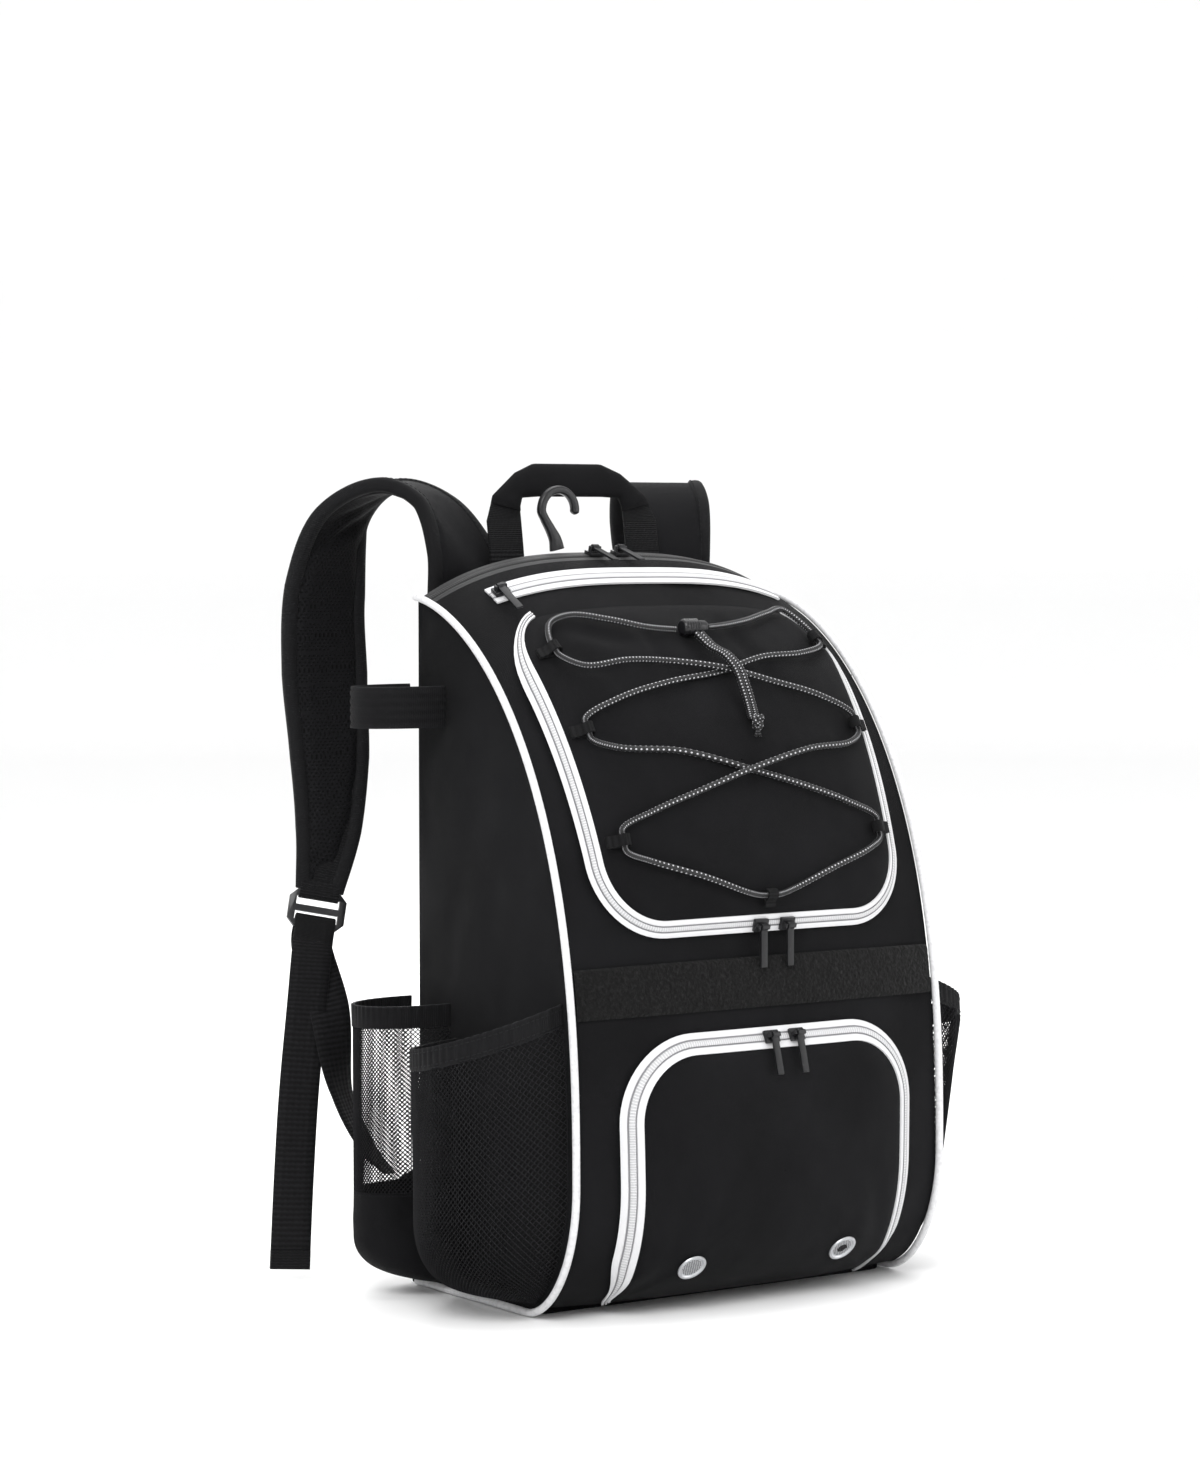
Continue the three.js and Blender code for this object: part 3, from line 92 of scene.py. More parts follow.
# Bungee
CORD_DIAMETER = 4.2
LOOP_HALF_LENGTH = 4
LOOP_WALL = 1.3
LOOP_CLEARANCE = 0.9
SEAT_GAP = 0.55
LOCK_LENGTH = 20
LOCK_RADIUS = 6
LOCK_HEIGHT = 427

# Side pockets, bat sleeves and bat loops
BOTTLE = {"depth": 75, "slack_depth": 52, "slack_foot": 0.5, "rear": 38, "rim_rear": 177, "rim_front": 212,
          "seam": 9, "floor": 10, "swell": 66}
BINDING_HEIGHT = 15
SLEEVE = {"depth": 60, "front": 44, "rear": 101.5, "top": 200, "floor": 8, "swell": 42, "base": 73}
BAT_LOOP = {"low": 387, "high": 415}

# Harness
HARNESS_SHIFT = -8
HARNESS_FOOT = 425
HANDLE = {"half": 72, "webbing": 28, "top": 567, "foot": 462, "thickness": 3, "lean": 14}
HOOK = {"x": -30, "top": 552, "radius": 14, "thickness": 6}
STRAP_WIDTH = 64
STRAP_THICKNESS = 10
WEBBING_WIDTH = 28
WEBBING = 1.8
TIP_START = 0.84
TIP_MARGIN = 3
TIP_WALL = 1.2
BUCKLE_HEIGHT = 26
BUCKLE_THICKNESS = 4.5
BUCKLE_BAR = 4.5
BUCKLE_SLOT = 6
ANCHOR_HEIGHT = 66

INSIDE = Vector((0, 0, 230))
BEVEL_ANGLE = 50


def length(name, description, millimetres):
    return FloatProperty(name=name, description=description, default=millimetres * MM, min=0,
                         subtype="DISTANCE", unit="LENGTH", precision=5)


def colour(name, description, *rgb):
    return FloatVectorProperty(name=name, description=description, default=rgb, size=3, min=0, max=1,
                               subtype="COLOR")


class BackpackSizes(bpy.types.PropertyGroup):
    cloth_wall: length("Cloth wall", "Thickness of the polyester", 1.2)
    thread: length("Thread pitch", "Distance between two threads of the polyester", 0.6)
    rumple: length("Rumple", "Depth of the soft dents in the cloth", 2.2)
    bottle_net: length("Bottle net", "Width of a cell of the bottle pockets' net", 4)
    sleeve_net: length("Sleeve net", "Width of a cell of the bat sleeves' net", 3)
    strand: length("Net strand", "Thickness of a strand of the nets", 1.0)
    stitch: length("Stitch", "Length of a stitch", 2.6)
    stitch_gap: length("Stitch gap", "Distance between two stitches", 1.2)
    voxel: length("Pad voxel", "Cell of the mesh that the shoulder pads swell from", 4)
    back_voxel: length("Back voxel", "Cell of the mesh that the back pad swells from", 6)
    swell: length("Swell", "Most that a point of a pad may move", 5)
    pressure: FloatProperty(name="Pressure", description="Pressure inside the pads", default=4, min=0)
    frames: IntProperty(name="Frames", description="Length of the pads' simulation", default=20, min=2)


class BackpackColours(bpy.types.PropertyGroup):
    cloth: colour("Cloth", "Black polyester", 0.0038, 0.0038, 0.0043)
    webbing: colour("Webbing", "Black webbing and bindings", 0.005, 0.005, 0.0055)
    net: colour("Net", "Black net and air mesh", 0.006, 0.006, 0.0066)
    trim: colour("Trim", "White piping and zipper tape", 0.62, 0.62, 0.63)
    # Groove is the colour of painted shade: the zippers' grooves and the gaps between their coil's teeth are
    # painted in it
    groove: colour("Groove", "Shade between the zipper's coil and its tape", 0.2, 0.2, 0.21)
    strip: colour("Loop strip", "Black fuzzy strip", 0.002, 0.002, 0.002)
    fleck: colour("Fleck", "Pale flecks of the bungee", 0.5, 0.5, 0.52)
    plastic: colour("Plastic", "Black moulded plastic", 0.008, 0.008, 0.009)
    metal: colour("Painted metal", "Black painted sliders and pulls", 0.010, 0.010, 0.011)
    silver: colour("Silver", "Silver vents", 0.62, 0.63, 0.65)
    floor: colour("Floor", "Pale studio floor", 0.93, 0.93, 0.93)


def mm(name):
    """A size of the property group, in millimetres"""
    return getattr(bpy.context.scene.backpack_sizes, name) / MM


def shade(name):
    """A colour of the property group, with its alpha"""
    return (*getattr(bpy.context.scene.backpack_colours, name), 1)


# Surfaces of the bag, in millimetres
def mix(a, b, share):
    return a + (b - a) * share


def clamp(value, low=0.0, high=1.0):
    return max(low, min(high, value))


def smooth(share):
    share = clamp(share)
    return share * share * (3 - 2 * share)


def profile(share):
    """Seam between front and side, as (y, z): -1 at the foot, 0 at the belly, 1 at the top"""
    phase = abs(share) * pi / 2
    reach = max(0, cos(phase)) ** 1.112
    if share >= 0:
        return Vector((BACK_Y - BODY_DEPTH * reach,
                       BELLY_HEIGHT + (SIDE_HEIGHT - BELLY_HEIGHT) * sin(phase) ** 0.8))
    return Vector((BACK_Y - (FOOT_DEPTH + (BODY_DEPTH - FOOT_DEPTH) * reach),
                   BELLY_HEIGHT - (BELLY_HEIGHT - BASE_THICKNESS) * sin(phase)))


def share_at_height(height):
    if height >= BELLY_HEIGHT:
        return math.asin(clamp((height - BELLY_HEIGHT) / (SIDE_HEIGHT - BELLY_HEIGHT)) ** 1.25) / (pi / 2)
    return -math.asin(clamp((BELLY_HEIGHT - height) / (BELLY_HEIGHT - BASE_THICKNESS))) / (pi / 2)


def share_at_depth(y):
    return math.acos(clamp((BACK_Y - y) / BODY_DEPTH) ** (1 / 1.112)) / (pi / 2)


def profile_normal(share, step=1e-3):
    along = (profile(min(1, share + step)) - profile(max(-1, share - step))).normalized()
    return Vector((-along.y, along.x))


def crown(x, share):
    top = sin(max(0, share) * pi / 2) ** 4
    foot = cos(min(0, share) * pi / 2) ** 0.7
    rise = CROWN_FRONT * foot + (CROWN_TOP - CROWN_FRONT) * top
    return rise * (1 - min(1, abs(x) / HALF_WIDTH) ** 3)


def front_at(x, share, lift=0.0):
    place = profile(share) + profile_normal(share) * (crown(x, share) + lift)
    return Vector((x, place.x, place.y))


def front(x, height, lift=0.0):
    return front_at(x, share_at_height(height), lift)


def front_normal(x, share, step=2e-3):
    along = front_at(x + 1, share) - front_at(x - 1, share)
    up = front_at(x, min(1, share + step)) - front_at(x, max(-1, share - step))
    return along.cross(up).normalized()


def arch(x):
    return SIDE_HEIGHT + CROWN_TOP * (1 - min(1, abs(x) / HALF_WIDTH) ** 3)


def side_reach(y, z):
    edge = profile(share_at_height(clamp(z, BASE_THICKNESS, SIDE_HEIGHT))).x
    along = clamp((y - edge) / (BACK_FRONT_Y - edge))
    up = clamp((z - BASE_THICKNESS) / (SIDE_HEIGHT - BASE_THICKNESS))
    return HALF_WIDTH + SIDE_BULGE * sin(pi * along) * sin(pi * up) ** 0.6


def back_reach(x, z):
    across = 1 - min(1, abs(x) / HALF_WIDTH) ** 4
    up = sin(pi * clamp((z - BASE_THICKNESS) / (HARNESS_FOOT - BASE_THICKNESS))) ** 0.5
    return BACK_Y + BACK_CROWN * across * up


def even_steps(curve, start, end, count, samples=400):
    """Parameters that cut the curve into stretches of equal length"""
    spots = [mix(start, end, i / samples) for i in range(samples + 1)]
    places = [curve(spot) for spot in spots]
    run = [0.0]
    for before, after in zip(places, places[1:]):
        run.append(run[-1] + (after - before).length)
    chosen = []
    k = 0
    for j in range(count + 1):
        goal = run[-1] * j / count
        while k < samples - 1 and run[k + 1] < goal:
            k += 1
        part = (goal - run[k]) / max(1e-9, run[k + 1] - run[k])
        chosen.append(mix(spots[k], spots[k + 1], part))
    return chosen


def lookup(table, share):
    spot = clamp(share) * (len(table) - 1)
    low = min(int(spot), len(table) - 2)
    return mix(table[low], table[low + 1], spot - low)


def ruffle(point, size, depth):
    """Soft dents in cloth, the same on each run"""
    return depth * noise.noise(point / size) + depth * 0.4 * noise.noise(point * 2.7 / size)


def folds(table, x, z):
    """Sum of long dents: each row runs from (x0, z0) to (x1, z1) with a width and a depth"""
    total = 0.0
    for row in table:
        start, run = Vector(row["start"]), Vector(row["end"]) - Vector(row["start"])
        share = clamp((Vector((x, z)) - start).dot(run) / run.length_squared)
        away = (Vector((x, z)) - start - run * share).length
        total += row["depth"] * math.exp(-(away / row["width"]) ** 2) * sin(pi * mix(0.08, 0.92, share))
    return total


class Route:
    """Smooth curve through its points, whose equal shares fall on them"""

    def __init__(self, points):
        self.points = [Vector(p) for p in points]

    def at(self, share):
        points = self.points
        last = len(points) - 1
        spot = clamp(share) * last
        k = min(int(spot), last - 1)
        part = spot - k
        p1, p2 = points[k], points[k + 1]
        p0 = points[k - 1] if k else p1 * 2 - p2
        p3 = points[k + 2] if k + 2 <= last else p2 * 2 - p1
        d0, d1, d2 = [max(1e-4, (b - a).length_squared ** 0.25) for a, b in ((p0, p1), (p1, p2), (p2, p3))]
        t1 = ((p1 - p0) / d0 - (p2 - p0) / (d0 + d1) + (p2 - p1) / d1) * d1
        t2 = ((p2 - p1) / d1 - (p3 - p1) / (d1 + d2) + (p3 - p2) / d2) * d1
        cubic = p1 * 2 - p2 * 2 + t1 + t2
        square = p2 * 3 - p1 * 3 - t1 * 2 - t2
        return p1 + t1 * part + square * part ** 2 + cubic * part ** 3

    def along(self, share, step=1e-4):
        return (self.at(min(1, share + step)) - self.at(max(0, share - step))).normalized()

    def dense(self, each):
        count = (len(self.points) - 1) * each
        return [self.at(i / count) for i in range(count + 1)]


# Pieces: primitives that are placed, shaped in edit mode and finished with modifiers
def fresh(add, name, **options):
    bpy.ops.object.select_all(action="DESELECT")
    add(**options)
    piece = bpy.context.active_object
    piece.name = name
    piece.data.name = name
    return piece


def alone(piece):
    bpy.ops.object.select_all(action="DESELECT")
    piece.select_set(True)
    bpy.context.view_layer.objects.active = piece


def edit(piece, *steps):
    """Edit mode steps, each on everything in the piece"""
    alone(piece)
    bpy.ops.object.mode_set(mode="EDIT")
    for step in steps:
        bpy.ops.mesh.select_all(action="SELECT")
        step()
    bpy.ops.object.mode_set(mode="OBJECT")


def weld():
    bpy.ops.mesh.remove_doubles(threshold=1e-6)


def close_ends():
    bpy.ops.mesh.fill_holes(sides=0)


def face_outwards():
    bpy.ops.mesh.normals_make_consistent(inside=False)


def modify(piece, kind, **settings):
    alone(piece)
    modifier = piece.modifiers.new(kind.title(), kind)
    for key, value in settings.items():
        setattr(modifier, key, value)
    bpy.ops.object.modifier_apply(modifier=modifier.name)
    return piece


def shaded(piece, degrees=40):
    alone(piece)
    bpy.ops.object.shade_smooth_by_angle(angle=radians(degrees))
    return piece


def grid(name, columns, rows, place, size):
    """Grid whose vertices go to place(u, v), with a UV map that is size wide and high"""
    piece = fresh(bpy.ops.mesh.primitive_grid_add, name, x_subdivisions=columns, y_subdivisions=rows, size=1)
    mesh = piece.data
    shares = [(v.co.x + 0.5, v.co.y + 0.5) for v in mesh.vertices]
    for vertex, (u, v) in zip(mesh.vertices, shares):
        vertex.co = place(u, v) * MM
    chart = mesh.uv_layers.active.data
    for loop in mesh.loops:
        u, v = shares[loop.vertex_index]
        chart[loop.index].uv = (u * size[0], v * size[1])
    mesh.update()
    return piece


def sheet(name, columns, rows, place, size=(1, 1), wall=0.0, inside=INSIDE, round_edge=0.0):
    """Cloth that faces away from a point inside the bag and has its wall behind it"""
    piece = grid(name, columns, rows, place, size)
    middle = inside * MM
    if sum(p.area * p.normal.dot(p.center - middle) for p in piece.data.polygons) < 0:
        edit(piece, bpy.ops.mesh.flip_normals)
    if wall:
        modify(piece, "SOLIDIFY", thickness=wall * MM, offset=-1, use_even_offset=False)
    if round_edge:
        modify(piece, "BEVEL", width=round_edge * MM, segments=2, limit_method="ANGLE",
               angle_limit=radians(BEVEL_ANGLE))
    return shaded(piece)


def rolled(name, rings, degrees=50):
    """Tube through rings of equal point counts, with its ends closed"""
    columns, rows = len(rings) - 1, len(rings[0])
    centres = [sum(ring, Vector()) / rows for ring in rings]
    run = sum((b - a).length for a, b in zip(centres, centres[1:]))

    def place(u, v):
        return rings[round(u * columns)][round(v * rows) % rows]

    piece = grid(name, columns, rows, place, (run * MM, 1))
    edit(piece, weld, close_ends, face_outwards)
    return shaded(piece, degrees)


def cord_rings(points, radius, sides):
    """Rings round a line of points; the radius may be a function of the share along it"""
    rings = []
    across = None
    last = len(points) - 1
    for i, point in enumerate(points):
        along = (points[min(i + 1, last)] - points[max(i - 1, 0)]).normalized()
        across = along.orthogonal() if across is None else across - along * across.dot(along)
        across.normalize()
        up = along.cross(across)
        size = radius(i / last) if callable(radius) else radius
        turns = [2 * pi * k / sides for k in range(sides)]
        rings.append([point + (across * cos(a) + up * sin(a)) * size for a in turns])
    return rings


def turned(name, profile_rows, centre, axis, sides=32):
    """Round piece from (radius, rise) rows about an axis"""
    axis = axis.normalized()
    across = axis.orthogonal().normalized()
    up = axis.cross(across)
    rings = []
    for radius, rise in profile_rows:
        turns = [2 * pi * k / sides for k in range(sides)]
        rings.append([centre + axis * rise + (across * cos(a) + up * sin(a)) * max(radius, 0.02)
                      for a in turns])
    return rolled(name, rings, degrees=35)


def joined(name, pieces):
    bpy.ops.object.select_all(action="DESELECT")
    for piece in pieces:
        piece.select_set(True)
    bpy.context.view_layer.objects.active = pieces[0]
    bpy.ops.object.join()
    pieces[0].name = name
    pieces[0].data.name = name
    return pieces[0]


def softened(name, node, width, degrees=30, segments=2):
    """Copy of a fixed part with its edges rounded"""
    piece = bpy.data.objects.new(name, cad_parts[node].data.copy())
    piece.data.name = name
    piece.data.materials.clear()
    bpy.context.scene.collection.objects.link(piece)
    alone(piece)
    bpy.ops.mesh.customdata_custom_splitnormals_clear()
    edit(piece, weld, lambda: bpy.ops.mesh.dissolve_limited(angle_limit=radians(2)))
    modify(piece, "BEVEL", width=width * MM, segments=segments, limit_method="ANGLE",
           angle_limit=radians(degrees))
    return shaded(piece, 35)


def repeated(name, model, matrices):
    """Copies of a small model, joined in one piece"""
    verts = [v.co.copy() for v in model.data.vertices]
    faces = [tuple(p.vertices) for p in model.data.polygons]
    mesh = bpy.data.meshes.new(name)
    places = [m @ v for m in matrices for v in verts]
    count = len(verts)
    copies = [tuple(k * count + i for i in face) for k in range(len(matrices)) for face in faces]
    mesh.from_pydata(places, [], copies)
    piece = bpy.data.objects.new(name, mesh)
    bpy.context.scene.collection.objects.link(piece)
    bpy.data.objects.remove(model)
    return shaded(piece, 60)


def stitching(name, seams, width=0.8):
    """Rows of stitches: each seam is a list of (place, normal) pairs"""
    stitch = mm("stitch")
    pitch = stitch + mm("stitch_gap")
    matrices = []
    for seam in seams:
        left = pitch / 2
        for (start, normal), (end, _) in zip(seam, seam[1:]):
            run = end - start
            far = run.length
            while left < far:
                along = run.normalized()
                side = normal.cross(along).normalized()
                up = along.cross(side)
                turn = Matrix((along, side, up)).transposed().to_4x4()
                matrices.append(Matrix.Translation((start + along * left + up * 0.1) * MM) @ turn)
                left += pitch
            left -= far
    model = fresh(bpy.ops.mesh.primitive_uv_sphere_add, name + "_model", segments=6, ring_count=4, radius=0.5)
    model.data.transform(Matrix.Rotation(pi / 2, 4, "Y"))
    model.data.transform(Matrix.Diagonal((stitch * MM, width * MM, 0.7 * MM, 1)))
    return repeated(name, model, matrices)


def net(name, columns, rows, place):
    """Diamond net: a grid whose cells are poked and whose own edges are dissolved"""
    piece = grid(name, columns, rows, place, (1, 1))
    corners = len(piece.data.vertices)
    edit(piece, bpy.ops.mesh.poke)
    work = bmesh.new()
    work.from_mesh(piece.data)
    straight = [e for e in work.edges if len(e.link_faces) == 2 and all(v.index < corners for v in e.verts)]
    bmesh.ops.dissolve_edges(work, edges=straight, use_verts=False)
    work.to_mesh(piece.data)
    work.free()
    modify(piece, "WIREFRAME", thickness=mm("strand") * MM, use_even_offset=False, use_boundary=True)
    return shaded(piece, 70)


def stuffed(piece, voxel, reach):
    """Padded piece: an even mesh that swells a little under pressure"""
    sizes = bpy.context.scene.backpack_sizes
    modify(piece, "REMESH", mode="VOXEL", voxel_size=voxel * MM, use_smooth_shade=True)
    start = [v.co.copy() for v in piece.data.vertices]
    swell = piece.modifiers.new("Swell", "CLOTH")
    swell.settings.use_pressure = True
    swell.settings.uniform_pressure_force = sizes.pressure
    swell.settings.effector_weights.gravity = 0
    swell.point_cache.frame_start = 1
    swell.point_cache.frame_end = sizes.frames
    for step in range(1, sizes.frames + 1):
        bpy.context.scene.frame_set(step)
    alone(piece)
    bpy.ops.object.modifier_apply(modifier=swell.name)
    for vertex, before in zip(piece.data.vertices, start):
        shift = vertex.co - before
        if shift.length > reach * MM:
            vertex.co = before + shift.normalized() * reach * MM
    bpy.context.scene.frame_set(1)
    modify(piece, "SUBSURF", levels=1, render_levels=1)
    return shaded(piece, 80)


def worn(piece, finish, slot, *nodes, body="bag"):
    """Give a piece its finish and body, and hide the fixed parts that it stands for. The slot is not used."""
    piece.data.materials.clear()
    piece.data.materials.append(paint(finish))
    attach(piece, body)
    if nodes:
        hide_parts(*nodes)
    return piece


# Finishes
class Wire:
    """Output of a node; ordinary maths on it adds Math nodes"""

    def __init__(self, finish, socket):
        self.finish = finish
        self.socket = socket

    def maths(self, operation, *values):
        slots = dict(enumerate(values))
        return self.finish.node("Math", {"operation": operation}, slots)

    def __add__(self, other):
        return self.maths("ADD", self, other)

    def __sub__(self, other):
        return self.maths("SUBTRACT", self, other)

    def __rsub__(self, other):
        return self.maths("SUBTRACT", other, self)

    def __mul__(self, other):
        return self.maths("MULTIPLY", self, other)

    __radd__ = __add__
    __rmul__ = __mul__

    def sine(self):
        return self.maths("SINE", self)

    def size(self):
        return self.maths("ABSOLUTE", self)

    def over(self, low, high):
        """0 below low, 1 above high and smooth between them"""
        return self.finish.node("MapRange", {"interpolation_type": "SMOOTHSTEP"},
                                {"Value": self, "From Min": low, "From Max": high})


class Finish:
    """Material with one Principled shader, whose nodes are added by name"""

    def __init__(self, name, constants):
        self.material = bpy.data.materials.new(name)
        self.material.use_nodes = True
        self.tree = self.material.node_tree
        self.shader = self.tree.nodes["Principled BSDF"]
        for socket, value in constants.items():
            self.shader.inputs[socket].default_value = value
        self.place = self.node("TexCoord", {}, {}, "Object")

    def node(self, kind, settings, values, out=0):
        made = self.tree.nodes.new("ShaderNode" + kind)
        for key, value in settings.items():
            setattr(made, key, value)
        for socket, value in values.items():
            self.feed(made.inputs[socket], value)
        return Wire(self, made.outputs[out])

    def feed(self, socket, value):
        if isinstance(value, Wire):
            self.tree.links.new(value.socket, socket)
        else:
            socket.default_value = value

    def axes(self, place=None):
        split = self.node("SeparateXYZ", {}, {0: place or self.place})
        return [Wire(self, output) for output in split.socket.node.outputs]

    def chart(self):
        """Metres along the piece and share across it, from its UV map"""
        return self.axes(self.node("UVMap", {"uv_map": "UVMap"}, {}))[:2]

    def cloudy(self, scale, detail=2.0):
        return self.node("TexNoise", {}, {"Vector": self.place, "Scale": scale, "Detail": detail})

    def blend(self, share, low, high):
        return self.node("Mix", {"data_type": "RGBA"}, {0: share, 6: low, 7: high}, 2)

    def colour(self, value):
        self.feed(self.shader.inputs["Base Color"], value)

    def rough(self, value):
        self.feed(self.shader.inputs["Roughness"], value)

    def bump(self, height, depth):
        bumped = self.node("Bump", {}, {"Strength": 1.0, "Distance": depth * MM, "Height": height})
        self.feed(self.shader.inputs["Normal"], bumped)


def scaled(rgba, factor):
    return (*[min(1, part * factor) for part in rgba[:3]], 1)


def weave_of(look, thread):
    x, y, z = look.axes()
    turn = 2 * pi / (thread * MM)
    return ((x + y) * turn).sine() * (z * turn).sine()


def cloth_finish(name):
    """Matt polyester: fine plain weave, faint clouding and fuzz"""
    look = Finish(name, {"Specular IOR Level": 0.07, "Sheen Weight": 0.015, "Sheen Roughness": 0.5})
    weave = weave_of(look, mm("thread"))
    clouds = look.cloudy(11, 3)
    fuzz = look.cloudy(700, 2)
    tone = clouds.over(0.3, 0.75) * 0.6 + fuzz * 0.3 + weave * 0.1
    look.colour(look.blend(tone, scaled(shade("cloth"), 0.75), scaled(shade("cloth"), 1.9)))
    look.rough(0.62 + fuzz * 0.25)
    look.bump(weave * 0.5 + fuzz, 0.12)
    return look.material


def webbing_finish(name):
    """Ribbed webbing: a rib across it each 1.9 mm and fine threads along it"""
    look = Finish(name, {"Specular IOR Level": 0.1, "Sheen Weight": 0.02})
    along, across = look.chart()
    ribs = (along * (2 * pi / 0.0019)).sine()
    threads = (across * (2 * pi * 24)).sine()
    fuzz = look.cloudy(600, 2)
    look.colour(look.blend(ribs * 0.25 + fuzz * 0.6, scaled(shade("webbing"), 0.6),
                           scaled(shade("webbing"), 2.4)))
    look.rough(0.55 + fuzz * 0.3)
    look.bump(ribs * 0.6 + threads * 0.25 + fuzz * 0.3, 0.35)
    return look.material


def binding_finish(name):
    """Folded tape on a pocket's edge: fine ribs across, and a painted highlight along its long edges, the fold
    among them
    """
    look = Finish(name, {"Specular IOR Level": 0.1, "Sheen Weight": 0.02})
    along, across = look.chart()
    ribs = (along * (2 * pi / 0.0011)).sine()
    fuzz = look.cloudy(500, 2)
    # Painted highlight: the tape is lighter in a line along each long edge, as if its rounded edge caught the
    # light
    painted_edge_highlight = (across - 0.5).size().over(0.42, 0.5)
    look.colour(look.blend(fuzz * 0.5 + painted_edge_highlight * 0.4, scaled(shade("webbing"), 0.8),
                           scaled(shade("webbing"), 2.6)))
    look.rough(0.6 + fuzz * 0.25)
    look.bump(ribs * 0.5 + fuzz * 0.5, 0.2)
    return look.material


def net_finish(name):
    """Knitted net: dull strands with a twist along them"""
    look = Finish(name, {"Specular IOR Level": 0.09, "Sheen Weight": 0.02})
    fuzz = look.cloudy(1500, 2)
    look.colour(look.blend(fuzz, scaled(shade("net"), 0.7), scaled(shade("net"), 2.6)))
    look.rough(0.55 + fuzz * 0.25)
    look.bump(fuzz, 0.1)
    return look.material


def hexagons(along, across, pitch):
    """1 in the middle of each hole of an air mesh and 0 on its threads"""
    turn = 4 * pi / (3 ** 0.5 * pitch * MM)
    quarter = pi / 2
    waves = [along * turn,
             along * (-turn / 2) + across * (turn * 3 ** 0.5 / 2),
             along * (-turn / 2) - across * (turn * 3 ** 0.5 / 2)]
    return sum(((wave + quarter).sine() for wave in waves), start=waves[0] * 0).over(0.4, 1.8)


def air_mesh(look, along, across, pitch):
    holes = hexagons(along, across, pitch)
    fuzz = look.cloudy(900, 2)
    # Painted shade: the holes are painted far darker than the threads round them
    look.colour(look.blend(1 - holes * 0.85, scaled(shade("net"), 0.25), scaled(shade("net"), 2.2)))
    look.rough(0.6 + fuzz * 0.25)
    look.bump(1 - holes + fuzz * 0.15, 0.8)
    return look.material


def back_mesh_finish(name):
    """Air mesh on the back of the bag, with painted shade in its holes"""
    look = Finish(name, {"Specular IOR Level": 0.07, "Sheen Weight": 0.015})
    x, _, z = look.axes()
    return air_mesh(look, z, x, 3.0)


def pad_finish(name):
    """Shoulder pad: air mesh on the wearer's side, with painted shade in its holes, and smooth polyester
    outside
    """
    look = Finish(name, {"Specular IOR Level": 0.07, "Sheen Weight": 0.015})
    along, across = look.chart()
    inner = look.node("Attribute", {"attribute_name": "wearer"}, {}, "Fac").over(0.4, 0.6)
    holes = hexagons(along, across, 3.2) * inner
    weave = weave_of(look, mm("thread")) * (1 - inner)
    fuzz = look.cloudy(700, 2)
    # Painted shade: on the wearer's side the air mesh's holes go dark; elsewhere the tone differs at random
    tone = (1 - holes) * (0.45 + fuzz * 0.45)
    look.colour(look.blend(tone, scaled(shade("net"), 0.2), scaled(shade("cloth"), 1.9)))
    look.rough(0.6 + fuzz * 0.25)
    look.bump((1 - holes) + weave * 0.06 + fuzz * 0.12, 0.7)
    return look.material


def tape_of(name, tape, groove, coil):
    """Zipper: woven tape with a coil along its middle between two grooves, with painted shade in the grooves
    and between the coil's teeth
    """
    look = Finish(name, {"Specular IOR Level": 0.4, "Sheen Weight": 0.08})
    along, across = look.chart()
    away = (across - 0.5).size()
    middle = 1 - away.over(0.13, 0.17)
    shaded_groove_lines = away.over(0.12, 0.15) * (1 - away.over(0.18, 0.22))
    teeth = (along * (2 * pi / 0.0016)).sine().over(-0.4, 0.6)
    ribs = (along * (2 * pi / 0.0009)).sine()
    fuzz = look.cloudy(800, 2)
    base = look.blend(fuzz, scaled(tape, 0.92), tape)
    # Painted shade: between the coil's teeth the colour goes towards the groove colour, as far as coil says,
    # and the two groove lines take it fully
    coil_with_painted_shade = look.blend(middle * (1 - teeth) * coil, base, groove)
    look.colour(look.blend(shaded_groove_lines, coil_with_painted_shade, groove))
    look.rough(0.55 + fuzz * 0.2)
    look.bump(middle * teeth + (1 - middle) * ribs * 0.12 - shaded_groove_lines + fuzz * 0.15, 0.35)
    return look.material


def white_tape_finish(name):
    """White zipper tape"""
    return tape_of(name, shade("trim"), shade("groove"), 0.35)


def black_tape_finish(name):
    """Black zipper tape"""
    return tape_of(name, scaled(shade("webbing"), 1.6), scaled(shade("webbing"), 0.4), 0.8)


def piping_finish(name):
    """White piping: coated cloth drawn tight over a cord, with painted shade in its creases"""
    look = Finish(name, {"Specular IOR Level": 0.5, "Sheen Weight": 0.05})
    along, _ = look.chart()
    creases = look.cloudy(260, 3)
    pull = (along * (2 * pi / 0.0034)).sine()
    # Painted shade: the white darkens where the crease noise is low, in the dents of the bump
    look.colour(look.blend(creases.over(0.25, 0.6), scaled(shade("trim"), 0.82), shade("trim")))
    look.rough(0.42 + creases * 0.2)
    look.bump(creases + pull * 0.25, 0.22)
    return look.material


def strip_finish(name):
    """Loop strip: deep uneven fuzz that takes the light here and there, as painted highlights where it stands
    highest
    """
    look = Finish(name, {"Specular IOR Level": 0.1, "Sheen Weight": 0.05, "Sheen Roughness": 0.6})
    fuzz = look.cloudy(420, 4)
    tufts = look.cloudy(90, 3)
    # Painted highlight: the fuzz is lighter where it stands highest in the bump
    look.colour(look.blend(fuzz.over(0.45, 0.8), shade("strip"), scaled(shade("strip"), 4.5)))
    look.rough(0.8 + tufts * 0.2)
    look.bump(fuzz + tufts * 0.8, 1.1)
    return look.material


